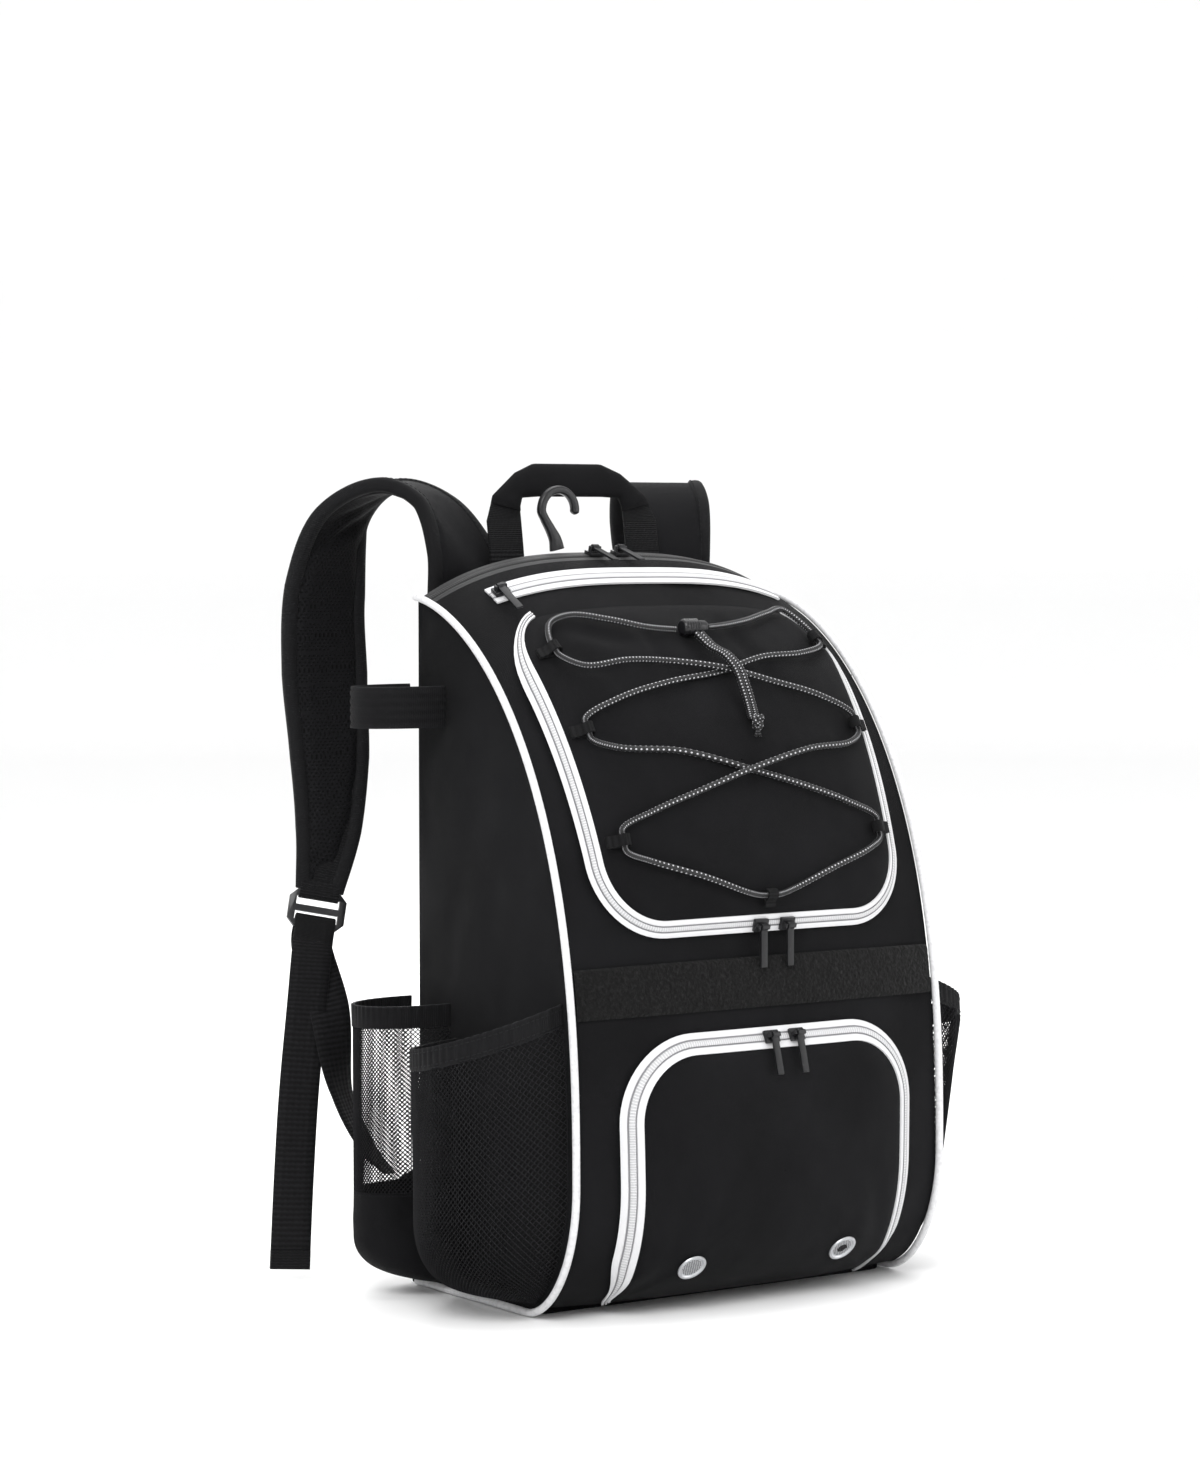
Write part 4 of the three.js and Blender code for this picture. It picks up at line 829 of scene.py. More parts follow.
def bungee_finish(name):
    """Braided cover with pale flecks in slanting rows"""
    look = Finish(name, {"Specular IOR Level": 0.4})
    along, around = look.chart()
    pitch = 0.0042
    one = (along * (2 * pi / pitch) + around * (4 * pi)).sine()
    two = (along * (2 * pi / pitch) - around * (4 * pi)).sine()
    fleck = (one * two).over(0.6, 0.78)
    braid = (along * (6 * pi / pitch) + around * (8 * pi)).sine()
    look.colour(look.blend(fleck, scaled(shade("webbing"), 1.2), shade("fleck")))
    look.rough(0.55 + fleck * 0.1)
    look.bump(braid * 0.4 + fleck * 0.6, 0.3)
    return look.material


def plastic_finish(name):
    """Glossy moulded plastic with fine scuffs"""
    look = Finish(name, {"Specular IOR Level": 0.3, "Coat Weight": 0.12, "Coat Roughness": 0.15})
    scuffs = look.cloudy(140, 4)
    look.colour(look.blend(scuffs.over(0.55, 0.8), shade("plastic"), scaled(shade("plastic"), 2.2)))
    look.rough(0.22 + scuffs * 0.22)
    look.bump(scuffs, 0.03)
    return look.material


def metal_finish(name):
    """Black painted metal, worn a little at random"""
    look = Finish(name, {"Specular IOR Level": 0.28})
    worn_spots = look.cloudy(300, 4)
    look.colour(look.blend(worn_spots.over(0.6, 0.8), shade("metal"), scaled(shade("metal"), 3)))
    look.rough(0.24 + worn_spots * 0.2)
    look.bump(worn_spots, 0.03)
    return look.material


def silver_finish(name):
    """Brushed silver metal"""
    look = Finish(name, {"Metallic": 1.0, "Specular IOR Level": 0.5})
    x, _, z = look.axes()
    brush = look.cloudy(900, 2)
    streaks = (z * 9000 + x * 1200).sine()
    look.colour(look.blend(brush, scaled(shade("silver"), 0.75), shade("silver")))
    look.rough(0.3 + brush * 0.2)
    look.bump(streaks * 0.2 + brush, 0.03)
    return look.material


def thread_finish(name):
    """Black sewing thread"""
    look = Finish(name, {"Specular IOR Level": 0.1, "Sheen Weight": 0.02})
    twist = look.cloudy(2600, 2)
    look.colour(look.blend(twist, scaled(shade("webbing"), 1.0), scaled(shade("webbing"), 3.2)))
    look.rough(0.5 + twist * 0.2)
    look.bump(twist, 0.08)
    return look.material


def floor_finish(name):
    """Seamless studio paper"""
    look = Finish(name, {"Specular IOR Level": 0.15})
    grain = look.cloudy(60, 2)
    look.colour(look.blend(grain, scaled(shade("floor"), 0.99), shade("floor")))
    look.rough(0.85 + grain * 0.05)
    return look.material


def paint(maker):
    return bpy.data.materials.get(maker.__name__) or maker(maker.__name__)


# Front pockets
class Pocket:
    """A swollen pocket on the front, with an outline and a zipper band round most of it"""

    def __init__(self, shape):
        self.shape = shape
        self.outline = pocket_outline(shape)
        self.height = shape["top"] - shape["bottom"]
        self.centre = Vector((0, mix(shape["bottom"], shape["top"], 0.5)))
        spread = sorted((math.atan2(p.y - self.centre.y, p.x), (p - self.centre).length)
                        for p in self.outline)
        self.angles = [angle for angle, _ in spread]
        self.radii = [radius for _, radius in spread]

    def sewn(self, z):
        return self.shape["top"] - z if self.shape["sewn_at_top"] else z - self.shape["bottom"]

    def rim_lift(self, z):
        return mix(TRIM_LIFT + CLOTH, self.shape["rim"], smooth(self.sewn(z) / (self.height * 0.14)))

    def band_width(self, z):
        return mix(0.35, 1, smooth(self.sewn(z) / (self.height * 0.2))) * self.shape["band"]

    def reach(self, angle):
        count = len(self.angles)
        k = next((i for i in range(count) if self.angles[i] > angle), 0)
        low, high = self.angles[k - 1], self.angles[k]
        span = (high - low) % (2 * pi)
        return mix(self.radii[k - 1], self.radii[k], ((angle - low) % (2 * pi)) / span)

    def lift(self, x, z):
        away = Vector((x, z)) - self.centre
        angle = math.atan2(away.y, away.x)
        reach = self.reach(angle)
        share = min(1, away.length / reach)
        return mix(self.rim_lift(self.centre.y + reach * sin(angle)), POCKET_PEAK, 1 - share ** 2.6)

    def place(self, x, z, over=0.0):
        return front(x, z, self.lift(x, z) + over)


def pocket_outline(shape, step=4.0):
    """Ring of points from the middle of the bottom edge, up the right and down the left"""
    top, bottom = shape["top"], shape["bottom"]
    slant = (shape["top_half"] - shape["bottom_half"]) / (top - bottom)
    r_low, r_high = shape["bottom_radius"], shape["top_radius"]
    low_x = shape["bottom_half"] + slant * r_low
    high_x = shape["top_half"] - slant * r_high
    right = []

    def line(x0, z0, x1, z1):
        count = max(2, round(math.hypot(x1 - x0, z1 - z0) / step))
        right.extend(Vector((mix(x0, x1, i / count), mix(z0, z1, i / count))) for i in range(count))

    def corner(cx, cz, radius, start, end):
        count = max(6, round(radius * pi / 2 / step))
        turns = [mix(start, end, i / count) for i in range(count)]
        right.extend(Vector((cx + radius * cos(a), cz + radius * sin(a))) for a in turns)

    line(0, bottom, low_x - r_low, bottom)
    corner(low_x - r_low, bottom + r_low, r_low, -pi / 2, 0)
    line(low_x, bottom + r_low, high_x, top - r_high)
    corner(high_x - r_high, top - r_high, r_high, 0, pi / 2)
    line(high_x - r_high, top, 0, top)
    right.append(Vector((0, top)))
    return right + [Vector((-p.x, p.y)) for p in reversed(right[1:-1])]


def widened(outline, distance):
    """The outline moved outwards by a distance that depends on the height"""
    moved = []
    for i, point in enumerate(outline):
        along = (outline[(i + 1) % len(outline)] - outline[i - 1]).normalized()
        moved.append(point + Vector((along.y, -along.x)) * distance(point.y))
    return moved


UPPER_POCKET = Pocket(UPPER)
LOWER_POCKET = Pocket(LOWER)

# Long dents of the pocket faces: places in millimetres on the front
UPPER_FOLDS = [
    {"start": (-112, 428), "end": (-70, 404), "width": 7, "depth": -2.4},
    {"start": (-104, 436), "end": (-48, 424), "width": 5, "depth": -2.0},
    {"start": (-40, 440), "end": (-30, 400), "width": 6, "depth": -1.6},
    {"start": (30, 440), "end": (52, 396), "width": 7, "depth": -1.8},
    {"start": (112, 424), "end": (76, 408), "width": 6, "depth": -2.2},
    {"start": (-108, 372), "end": (-82, 366), "width": 6, "depth": -1.8},
    {"start": (108, 370), "end": (84, 366), "width": 6, "depth": -1.8},
    {"start": (-92, 318), "end": (-40, 306), "width": 9, "depth": -1.6},
]
LOWER_FOLDS = [
    {"start": (-88, 30), "end": (-74, 92), "width": 9, "depth": -1.8},
    {"start": (92, 40), "end": (80, 84), "width": 8, "depth": -1.4},
    {"start": (-50, 18), "end": (40, 24), "width": 8, "depth": -1.2},
]


def pocket_face(name, pocket, table):
    outline = pocket.outline
    count = len(outline)

    def place(u, v):
        edge = outline[round(u * count) % count]
        share = max(0.004, v) if v < 0.02 else v
        spot = pocket.centre.lerp(edge, share)
        lift = mix(pocket.rim_lift(edge.y), POCKET_PEAK, 1 - share ** 2.6)
        calm = smooth((1 - share) / 0.12)
        point = front(spot.x, spot.y)
        dent = folds(table, spot.x, spot.y) + ruffle(point, 46, mm("rumple") * 0.6)
        return front(spot.x, spot.y, lift + dent * calm - 1.2 * smooth((share - 0.96) / 0.04))

    piece = grid(name, count, 44, place, (1, 1))
    edit(piece, weld)
    if piece.data.polygons[0].normal.y > 0:
        edit(piece, bpy.ops.mesh.flip_normals)
    modify(piece, "SOLIDIFY", thickness=mm("cloth_wall") * MM, offset=-1)
    return shaded(piece, 60)


def pocket_zipper(name, pocket):
    outline = pocket.outline
    count = len(outline)
    inner = widened(outline, lambda z: GAP)
    outer = widened(outline, pocket.band_width)
    sewn = [pocket.sewn(p.y) < 0.5 for p in outline]
    start = next(i for i in range(count) if sewn[i] and not sewn[(i + 1) % count])
    keep = [start]
    while True:
        keep.append((keep[-1] + 1) % count)
        if sewn[keep[-1]]:
            break
    steps = len(keep) - 1
    run = sum((outline[a] - outline[b]).length for a, b in zip(keep, keep[1:]))

    def place(u, v):
        i = keep[round(u * steps)]
        spot = outer[i].lerp(inner[i], v)
        lift = mix(TRIM_LIFT + TAPE, pocket.rim_lift(outline[i].y), v ** 0.8)
        away = abs(v - 0.5)
        groove = math.exp(-((away - 0.17) / 0.05) ** 2)
        coil = 1 - smooth((away - 0.1) / 0.06)
        return front(spot.x, spot.y, lift - 0.7 * groove + 0.35 * coil)

    return sheet(name, steps, 24, place, (run * MM, 1), TAPE)


# Bungee: points on the upper pocket as (x, height, over), and loops as (name, direction)
CORD_ROUTE = [
    (-14, 427, 0), (-36, 429, 0), (-62, 435, 0), (-86, 440, 0), (-103, 438, 0), ("left_top", 1),
    (-98, 411, 0), (-66, 411, 0), (-34, 409, 0), (5, 403, 1), (44, 396, 0), (82, 389, 0), ("right_middle", 1),
    (98, 362, 0), (58, 357, 0), (5, 346, 1), (-42, 335, 0), (-82, 325, 0), ("left_low", 1),
    (-90, 296, 0), (-50, 284, 0), (-16, 273, 0), ("bottom", 1), (22, 274, 0), (56, 285, 0), (92, 296, 0),
    ("right_low", -1), (82, 325, 0), (44, 335, 0), (5, 346, -1), (-50, 358, 0), (-96, 364, 0),
    ("left_middle", -1), (-82, 391, 0), (-42, 397, 0), (5, 403, -1), (44, 410, 0), (84, 414, 0),
    ("right_top", -1), (98, 443, 0), (76, 438, 0), (50, 432, 0), (28, 429, 0), (14, 428, 0),
]
LOOPS = {
    "left_top": {"x": -111, "height": 424, "towards": (-1, 0)},
    "left_middle": {"x": -111.5, "height": 377, "towards": (-1, 0)},
    "left_low": {"x": -106, "height": 310, "towards": (-1, 0)},
    "right_top": {"x": 111, "height": 427, "towards": (1, 0)},
    "right_middle": {"x": 111.5, "height": 375, "towards": (1, 0)},
    "right_low": {"x": 106, "height": 310, "towards": (1, 0)},
    "bottom": {"x": 2, "height": 271, "towards": (0, -1)},
}
TAIL_ROUTE = [(1, 423.3, 6.4), (4, 414.5, 8), (9, 408, 11.4), (13, 400, 11.6), (15, 391, 8.5),
              (17, 382, 4.6), (17, 375, 3.2)]
TAIL_SPACING = 4.4
LOOP_TAIL = 12
LOOP_TAIL_BOTTOM = 8
LOOP_REACH = LOOP_HALF_LENGTH + 3.5
CORD_SEAT = CORD_DIAMETER / 2 + LOOP_WALL + LOOP_CLEARANCE + SEAT_GAP
CROSSING_LIFT = CORD_DIAMETER * 0.5 + 0.4


def loop_frame(loop):
    """Centre of a loop, the way of the cord, the way up and the way of the tail"""
    x, height, towards = loop["x"], loop["height"], loop["towards"]
    centre = UPPER_POCKET.place(x, height, CORD_SEAT)
    step = (-towards[1] * 3, abs(towards[0]) * 3)
    ahead = UPPER_POCKET.place(x + step[0], height + step[1], CORD_SEAT)
    behind = UPPER_POCKET.place(x - step[0], height - step[1], CORD_SEAT)
    along = (ahead - behind).normalized()
    if towards[1]:
        along.negate()
    up = front_normal(x, share_at_height(height))
    up = (up - along * up.dot(along)).normalized()
    outwards = along.cross(up)
    if outwards.x * towards[0] + outwards.z * towards[1] < 0:
        outwards.negate()
    return centre, along, up, outwards


def bungee_points():
    points = []
    for row in CORD_ROUTE:
        if isinstance(row[0], str):
            centre, along, _, _ = loop_frame(LOOPS[row[0]])
            points += [centre - along * (step * row[1] * LOOP_REACH) for step in (-1, 0, 1)]
        else:
            points.append(UPPER_POCKET.place(row[0], row[1], CORD_SEAT + row[2] * CROSSING_LIFT))
    return points


def tail_points(side):
    return [UPPER_POCKET.place(x + side * TAIL_SPACING, height, lift + SEAT_GAP)
            for x, height, lift in TAIL_ROUTE]


class BACKPACK_OT_stage(bpy.types.Operator):
    """Floor, light and camera at the photograph's angle"""
    bl_idname = "backpack.stage"
    bl_label = "Stage"

    def execute(self, context):
        scene = context.scene
        rows = [(0.01, 0), (2000, 0), (4200, 0), (5200, 90), (6000, 420), (6600, 1100), (7000, 2200),
                (7200, 4200)]

        def place(u, v):
            spot = v * (len(rows) - 1)
            k = min(int(spot), len(rows) - 2)
            radius, rise = [mix(a, b, spot - k) for a, b in zip(rows[k], rows[k + 1])]
            return Vector((radius * cos(2 * pi * u), radius * sin(2 * pi * u), rise))

        floor = grid("studio_floor", 96, 56, place, (1, 1))
        edit(floor, weld, bpy.ops.mesh.flip_normals)
        shaded(floor, 80)
        floor.data.materials.append(paint(floor_finish))

        world = bpy.data.worlds.new("Studio")
        world.use_nodes = True
        background = world.node_tree.nodes["Background"]
        background.inputs["Color"].default_value = (1, 1, 1, 1)
        background.inputs["Strength"].default_value = 1.0
        scene.world = world
        scene.view_settings.view_transform = "Standard"
        scene.view_settings.look = "None"

        lights = [
            {"name": "key", "place": (-1.9, -1.7, 2.3), "size": 1.6, "power": 62},
            {"name": "fill", "place": (1.9, -2.2, 1.2), "size": 2.2, "power": 26},
            {"name": "top", "place": (0.2, 0.3, 2.6), "size": 1.8, "power": 34},
            {"name": "rear", "place": (0.8, 2.4, 1.6), "size": 2.0, "power": 30},
        ]
        aim = Vector((0, 0, 0.28))
        for row in lights:
            lamp = bpy.data.objects.new(row["name"], bpy.data.lights.new(row["name"], "AREA"))
            lamp.data.size = row["size"]
            lamp.data.energy = row["power"]
            lamp.location = row["place"]
            lamp.rotation_euler = (aim - lamp.location).to_track_quat("-Z", "Y").to_euler()
            scene.collection.objects.link(lamp)

        azimuth, elevation, distance = radians(-35.5), radians(2.9), 2.760
        target = Vector((0, 0, 0.381))
        view = Vector((-sin(azimuth) * cos(elevation), cos(azimuth) * cos(elevation), -sin(elevation)))
        camera = bpy.data.objects.new("camera", bpy.data.cameras.new("camera"))
        camera.location = target - view * distance
        camera.rotation_euler = view.to_track_quat("-Z", "Y").to_euler()
        camera.data.sensor_fit = "VERTICAL"
        camera.data.sensor_height = 36
        camera.data.lens = 98.3
        camera.data.shift_x = -73 / 1466
        scene.collection.objects.link(camera)
        scene.camera = camera
        return {"FINISHED"}


class BACKPACK_OT_bungee(bpy.types.Operator):
    """Bungee with its hanging ends, knot, lock and webbing loops"""
    bl_idname = "backpack.bungee"
    bl_label = "Bungee"

    def execute(self, context):
        radius = CORD_DIAMETER / 2
        lace = rolled("bungee_lace", cord_rings(Route(bungee_points()).dense(8), radius, 12))
        worn(lace, bungee_finish, "bungee", "bungee_cord")

        knot = self.knot()
        for word, side in (("left", -0.5), ("right", 0.5)):
            path = Route(tail_points(side)).dense(6)
            end = rolled("bungee_end_" + word, cord_rings(path, radius, 12))
            worn(end, bungee_finish, "bungee")
            run = sum((b - a).length for a, b in zip(path, path[1:])) * MM
            path[0] * MM
            [p * MM for p in path]
        for spot, loop in LOOPS.items():
            self.loop(spot, loop)
        self.lock()
        return {"FINISHED"}

    def knot(self):
        """Overhand knot with a frayed end under it"""
        x, height, lift = TAIL_ROUTE[-1]
        centre = UPPER_POCKET.place(x, height - 3, lift + 3.4)
        scale = 1.35
        turns = [2 * pi * i / 72 for i in range(73)]
        trefoil = [centre + Vector(((sin(t) + 2 * sin(2 * t)) * scale, sin(3 * t) * scale,
                                    (cos(t) - 2 * cos(2 * t)) * scale * 1.15)) for t in turns]
        parts = [rolled("knot_turns", cord_rings(trefoil, CORD_DIAMETER * 0.42, 10))]
        count = 16
        for i in range(count):
            angle = 2 * pi * i / count
            spread = 1.2 + 0.9 * noise.noise(Vector((i * 1.7, 0, 0)))
            drop = 7 + 2.5 * noise.noise(Vector((0, i * 2.3, 0)))
            start = centre + Vector((cos(angle) * 0.8, sin(angle) * 0.8, -3))
            end = centre + Vector((cos(angle) * 2.4 * spread, sin(angle) * 1.2 * spread - 0.8, -3 - drop))
            line = [start, start.lerp(end, 0.5) + Vector((0.3 * sin(3 * angle), 0, -0.6)), end]
            parts.append(rolled("frayed", cord_rings(Route(line).dense(4), 0.32, 5)))
        return worn(joined("bungee_knot", parts), bungee_finish, "bungee", "bungee_tail")

    def loop(self, spot, loop):
        """Webbing folded round the cord, with both layers sewn into the pocket"""
        centre, along, up, outwards = loop_frame(loop)
        tail = LOOP_TAIL_BOTTOM if loop["towards"][1] else LOOP_TAIL
        radius = CORD_DIAMETER / 2 + LOOP_CLEARANCE + LOOP_WALL / 2
        low = -radius
        path = [(tail, low - 0.2), (tail * 0.6, low), (radius * 0.4, low)]
        path += [(-radius * sin(a), -radius * cos(a)) for a in [pi * i / 14 for i in range(1, 14)]]
        path += [(radius * 0.5, radius * 0.75), (tail * 0.55, low + LOOP_WALL * 1.6), (tail, low + LOOP_WALL)]
        route = Route([Vector((x, z, 0)) for x, z in path])

        def place(u, v):
            x, z, _ = route.at(u)
            return centre + outwards * x + up * z + along * mix(-LOOP_HALF_LENGTH, LOOP_HALF_LENGTH, v)

        piece = grid("webbing_loop_" + spot, 48, 6, place, (0.045, 1))
        modify(piece, "SOLIDIFY", thickness=LOOP_WALL * 0.8 * MM, offset=0)
        edit(piece, face_outwards)
        shaded(piece)
        worn(piece, webbing_finish, "black_webbing", "cord_loop_" + spot)

    def lock(self):
        """Barrel with a grooved grip and a spring button"""
        half, big = LOCK_LENGTH / 2, LOCK_RADIUS
        rows = [(0, -half), (big * 0.72, -half), (big * 0.9, -half + 0.8), (big, -half + 2.2)]
        for k in range(4):
            at = -half + 3.2 + k * 2
            rows += [(big, at), (big * 0.93, at + 0.6), (big * 0.93, at + 1.0), (big, at + 1.6)]
        rows += [(big, half * 0.2), (big * 0.86, half * 0.3), (big * 0.78, half * 0.34),
                 (big * 0.78, half * 0.86),
                 (big * 0.66, half), (0, half)]
        centre = UPPER_POCKET.place(0, LOCK_HEIGHT, LOCK_RADIUS + SEAT_GAP)
        lock = turned("bungee_lock", rows, centre, Vector((1, 0, 0)))
        worn(lock, plastic_finish, "black_plastic", "cord_lock")


class BACKPACK_OT_body(bpy.types.Operator):
    """Front and sides of the bag, its back pad and its base"""
    bl_idname = "backpack.body"
    bl_label = "Body"

    def execute(self, context):
        wall = mm("cloth_wall")
        half = HALF_WIDTH - GAP - 1
        end = share_at_depth(BACK_FRONT_Y - GAP - MAIN_ZIP_WIDTH - GAP)
        shares = even_steps(profile, -1, end, 200)

        def front_place(u, v):
            x, share = mix(-half, half, u), lookup(shares, v)
            calm = smooth(min(u, 1 - u) / 0.06) * smooth(min(v, 1 - v) / 0.05)
            dent = ruffle(front_at(x, share), 70, mm("rumple")) * calm
            return front_at(x, share, min(0, dent - 0.3))

        front_shell = sheet("front_shell", 90, 140, front_place, (1, 1), wall)
        worn(front_shell, cloth_finish, "black_cloth", "front_panel")

        for word, side in (("left", -1), ("right", 1)):
            worn(self.side(word, side, wall), cloth_finish, "black_cloth", "side_panel_" + word)
        worn(softened("base_cover", "base_panel", 1.2), cloth_finish, "black_cloth", "base_panel")
        self.back()
        return {"FINISHED"}

    def side(self, word, side, wall):
        shares = even_steps(profile, -1, share_at_depth(BACK_FRONT_Y - 6), 200)

        def place(u, v):
            edge = profile(lookup(shares, v))
            y = mix(edge.x, BACK_FRONT_Y - GAP, u)
            point = Vector((side * side_reach(y, edge.y), y, edge.y))
            calm = smooth(min(u, 1 - u) / 0.1) * smooth(min(v, 1 - v) / 0.06)
            dent = ruffle(point + Vector((0, 0, 300)), 75, mm("rumple") * 1.6) * calm
            point.x += side * min(0.4, dent - 0.4)
            return point

        return sheet("side_shell_" + word, 44, 110, place, (1, 1), wall)

    def back(self):
        """Foam back under air mesh, with three sewn channels"""
        piece = bpy.data.objects.new("back_pad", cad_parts["back_panel"].data.copy())
        piece.data.name = "back_pad"
        bpy.context.scene.collection.objects.link(piece)
        edit(piece, weld)
        middle = Vector((0, BACK_Y - BACK_PADDING / 2, SIDE_HEIGHT / 2)) * MM
        for vertex in piece.data.vertices:
            away = vertex.co - middle
            vertex.co = middle + Vector((away.x * 0.985, away.y * 0.9, away.z * 0.992))
        stuffed(piece, mm("back_voxel"), 3.0)
        for vertex in piece.data.vertices:
            x, y, z = vertex.co / MM
            if y < BACK_Y - 1:
                continue
            groove = math.exp(-((abs(x) - CHANNEL_X) / CHANNEL_WIDTH) ** 2)
            groove *= smooth((HARNESS_FOOT - CHANNEL_FADE - z) / CHANNEL_FADE)
            groove *= smooth((z - 2 * CHANNEL_FADE) / CHANNEL_FADE)
            yoke = math.exp(-((z - HARNESS_FOOT + 12) / 6) ** 2) * smooth((HALF_WIDTH - abs(x)) / 20)
            waist = math.exp(-((z - 34) / 6) ** 2) * smooth((HALF_WIDTH - abs(x)) / 20)
            vertex.co.y -= 3.2 * max(groove, yoke, waist) * MM
        worn(piece, back_mesh_finish, "black_mesh", "back_panel")


class BACKPACK_OT_trim(bpy.types.Operator):
    """White piping, the zippers over the top and at the slit, and the fuzzy strip"""
    bl_idname = "backpack.trim"
    bl_label = "Piping, zippers and strip"

    def execute(self, context):
        for word, side in (("left", -1), ("right", 1)):
            worn(self.piping(word, side), piping_finish, "white_trim", "piping_" + word)

        half = HALF_WIDTH - CLOTH - GAP
        rear = share_at_depth(BACK_FRONT_Y - GAP)
        low = share_at_depth(BACK_FRONT_Y - GAP - MAIN_ZIP_WIDTH)

        def main_place(u, v):
            away = abs(v - 0.5)
            relief = 0.6 * (1 - smooth((away - 0.1) / 0.06)) - 0.5 * math.exp(-((away - 0.18) / 0.05) ** 2)
            return front_at(mix(-half, half, u), mix(low, rear, v), relief - 0.3)

        zipper = sheet("top_zipper", 120, 20, main_place, (0.32, 1), TAPE)
        worn(zipper, black_tape_finish, "black_zipper", "main_zipper")

        def slit_place(u, v):
            away = abs(v - 0.5)
            relief = 0.4 * (1 - smooth((away - 0.1) / 0.06)) - 0.4 * math.exp(-((away - 0.18) / 0.05) ** 2)
            height = SLIT_ZIP["height"] + (v - 0.5) * SLIT_ZIP["width"]
            return front(mix(-SLIT_ZIP["half"], SLIT_ZIP["half"], u), height, TRIM_LIFT + TAPE + relief)

        slit = sheet("slit_tape", 110, 18, slit_place, (2 * SLIT_ZIP["half"] * MM, 1), TAPE)
        worn(slit, white_tape_finish, "white_trim", "slit_zipper")

        def strip_place(u, v):
            point = (mix(-half, half, u), mix(PATCH["low"], PATCH["high"], v))
            edge = smooth(min(v, 1 - v) / 0.06)
            nap = 0.5 * noise.noise(Vector((point[0] / 2.2, point[1] / 2.2, 0)))
            return front(*point, TRIM_LIFT + PATCH["thickness"] * mix(0.4, 1, edge) + nap * edge)

        strip = sheet("loop_strip", 240, 34, strip_place, (2 * half * MM, 1), PATCH["thickness"])
        worn(strip, strip_finish, "loop_strip", "patch_strip")
        return {"FINISHED"}

    def piping(self, word, side):
        away = (PIPING_RADIUS + GAP) * 0.5 ** 0.5
        points = []
        for share in reversed(even_steps(profile, -1, share_at_depth(BACK_FRONT_Y - GAP), 110)):
            seam = profile(share) + profile_normal(share) * away
            points.append(Vector((side * (HALF_WIDTH + away), seam.x, seam.y)))
        last = points[-1]
        floor_z = max(last.z, PIPING_RADIUS + GAP)
        for i in range(1, 13):
            points.append(Vector((last.x, mix(last.y, BACK_FRONT_Y, i / 12), floor_z)))
        return rolled("welt_" + word, cord_rings(points, PIPING_RADIUS, 10))


class BACKPACK_OT_pockets(bpy.types.Operator):
    """Front pockets with their white zippers and the two vents"""
    bl_idname = "backpack.pockets"
    bl_label = "Front pockets"

    def execute(self, context):
        pockets = (("upper", UPPER_POCKET, UPPER_FOLDS), ("lower", LOWER_POCKET, LOWER_FOLDS))
        for word, pocket, dents in pockets:
            face = pocket_face(word + "_face", pocket, dents)
            worn(face, cloth_finish, "black_cloth", word + "_pocket")
        for word, pocket, _ in pockets:
            tape = pocket_zipper(word + "_tape", pocket)
            worn(tape, white_tape_finish, "white_trim", word + "_pocket_zipper")
        for word, side in (("left", -1), ("right", 1)):
            self.vent(word, side)
        return {"FINISHED"}

    def vent(self, word, side):
        """Rolled rim with a fine wire disc in it, whose holes are thin black discs of painted shade"""
        x, z = side * VENT["half_spacing"], VENT["height"]
        centre = LOWER_POCKET.place(x, z)
        ahead = [LOWER_POCKET.place(x + dx, z + dz) for dx, dz in ((1, 0), (-1, 0), (0, 1), (0, -1))]
        normal = (ahead[0] - ahead[1]).cross(ahead[2] - ahead[3]).normalized()
        big, high = VENT["radius"], VENT["thickness"]
        rows = [(0, 0.05), (big * 0.96, 0.05), (big, 0.5), (big * 0.98, high * 0.8), (big * 0.9, high),
                (big * 0.82, high * 0.9), (big * 0.76, high * 0.45), (big * 0.74, high * 0.3),
                 (0, high * 0.3)]
        ring = turned("vent_ring_" + word, rows, centre, normal, 40)
        across = Vector((1, 0, 0))
        across = (across - normal * across.dot(normal)).normalized()
        up = normal.cross(across)
        # Painted shade: thin black discs laid on the silver disc stand for its holes, dark with the shade
        # behind them
        holes = []
        for i in range(-5, 6):
            for j in range(-5, 6):
                spot = Vector((i + (j % 2) / 2, j * 0.87)) * 1.45
                if spot.length < big * 0.68:
                    holes.append(centre + across * spot.x + up * spot.y + normal * (high * 0.32))
        model = fresh(bpy.ops.mesh.primitive_cylinder_add, "hole", vertices=8, radius=0.45 * MM,
                      depth=0.12 * MM)
        turn = Matrix((across, up, normal)).transposed().to_4x4()
        matrices = [Matrix.Translation(hole * MM) @ turn for hole in holes]
        worn(ring, silver_finish, "silver_metal", "vent_" + word)
        worn(repeated("vent_holes_" + word, model, matrices), metal_finish, "silver_metal")


# Pockets and sleeves on the sides
def bulge(start, end, spread, depth):
    """Plan of a pocket: handles of a curve from its front seam to its rear seam"""
    reach = depth / 0.75
    return [Vector((start, 0)), Vector((start - spread[0], reach)),
            Vector((end + spread[1], reach)), Vector((end, 0))]


def on_plan(plan, u):
    a, b, c, d = plan
    w = 1 - u
    place = a * w ** 3 + b * (3 * w * w * u) + c * (3 * w * u * u) + d * u ** 3
    along = ((b - a) * (w * w) + (c - b) * (2 * w * u) + (d - c) * (u * u)).normalized()
    return place, along


def swell_at(z, floor, full):
    return clamp(1 - ((full - z) / (full - floor)) ** 2, 0.004, 1) ** 0.5


def bottle_depth(z, side):
    """The left pocket stands open all the way down, the right one mostly at its rim"""
    if side < 0:
        return BOTTLE["depth"]
    opened = clamp((z - BOTTLE["swell"]) / (BOTTLE["rim_rear"] - BOTTLE["swell"]))
    return BOTTLE["slack_depth"] * mix(BOTTLE["slack_foot"], 1, opened)


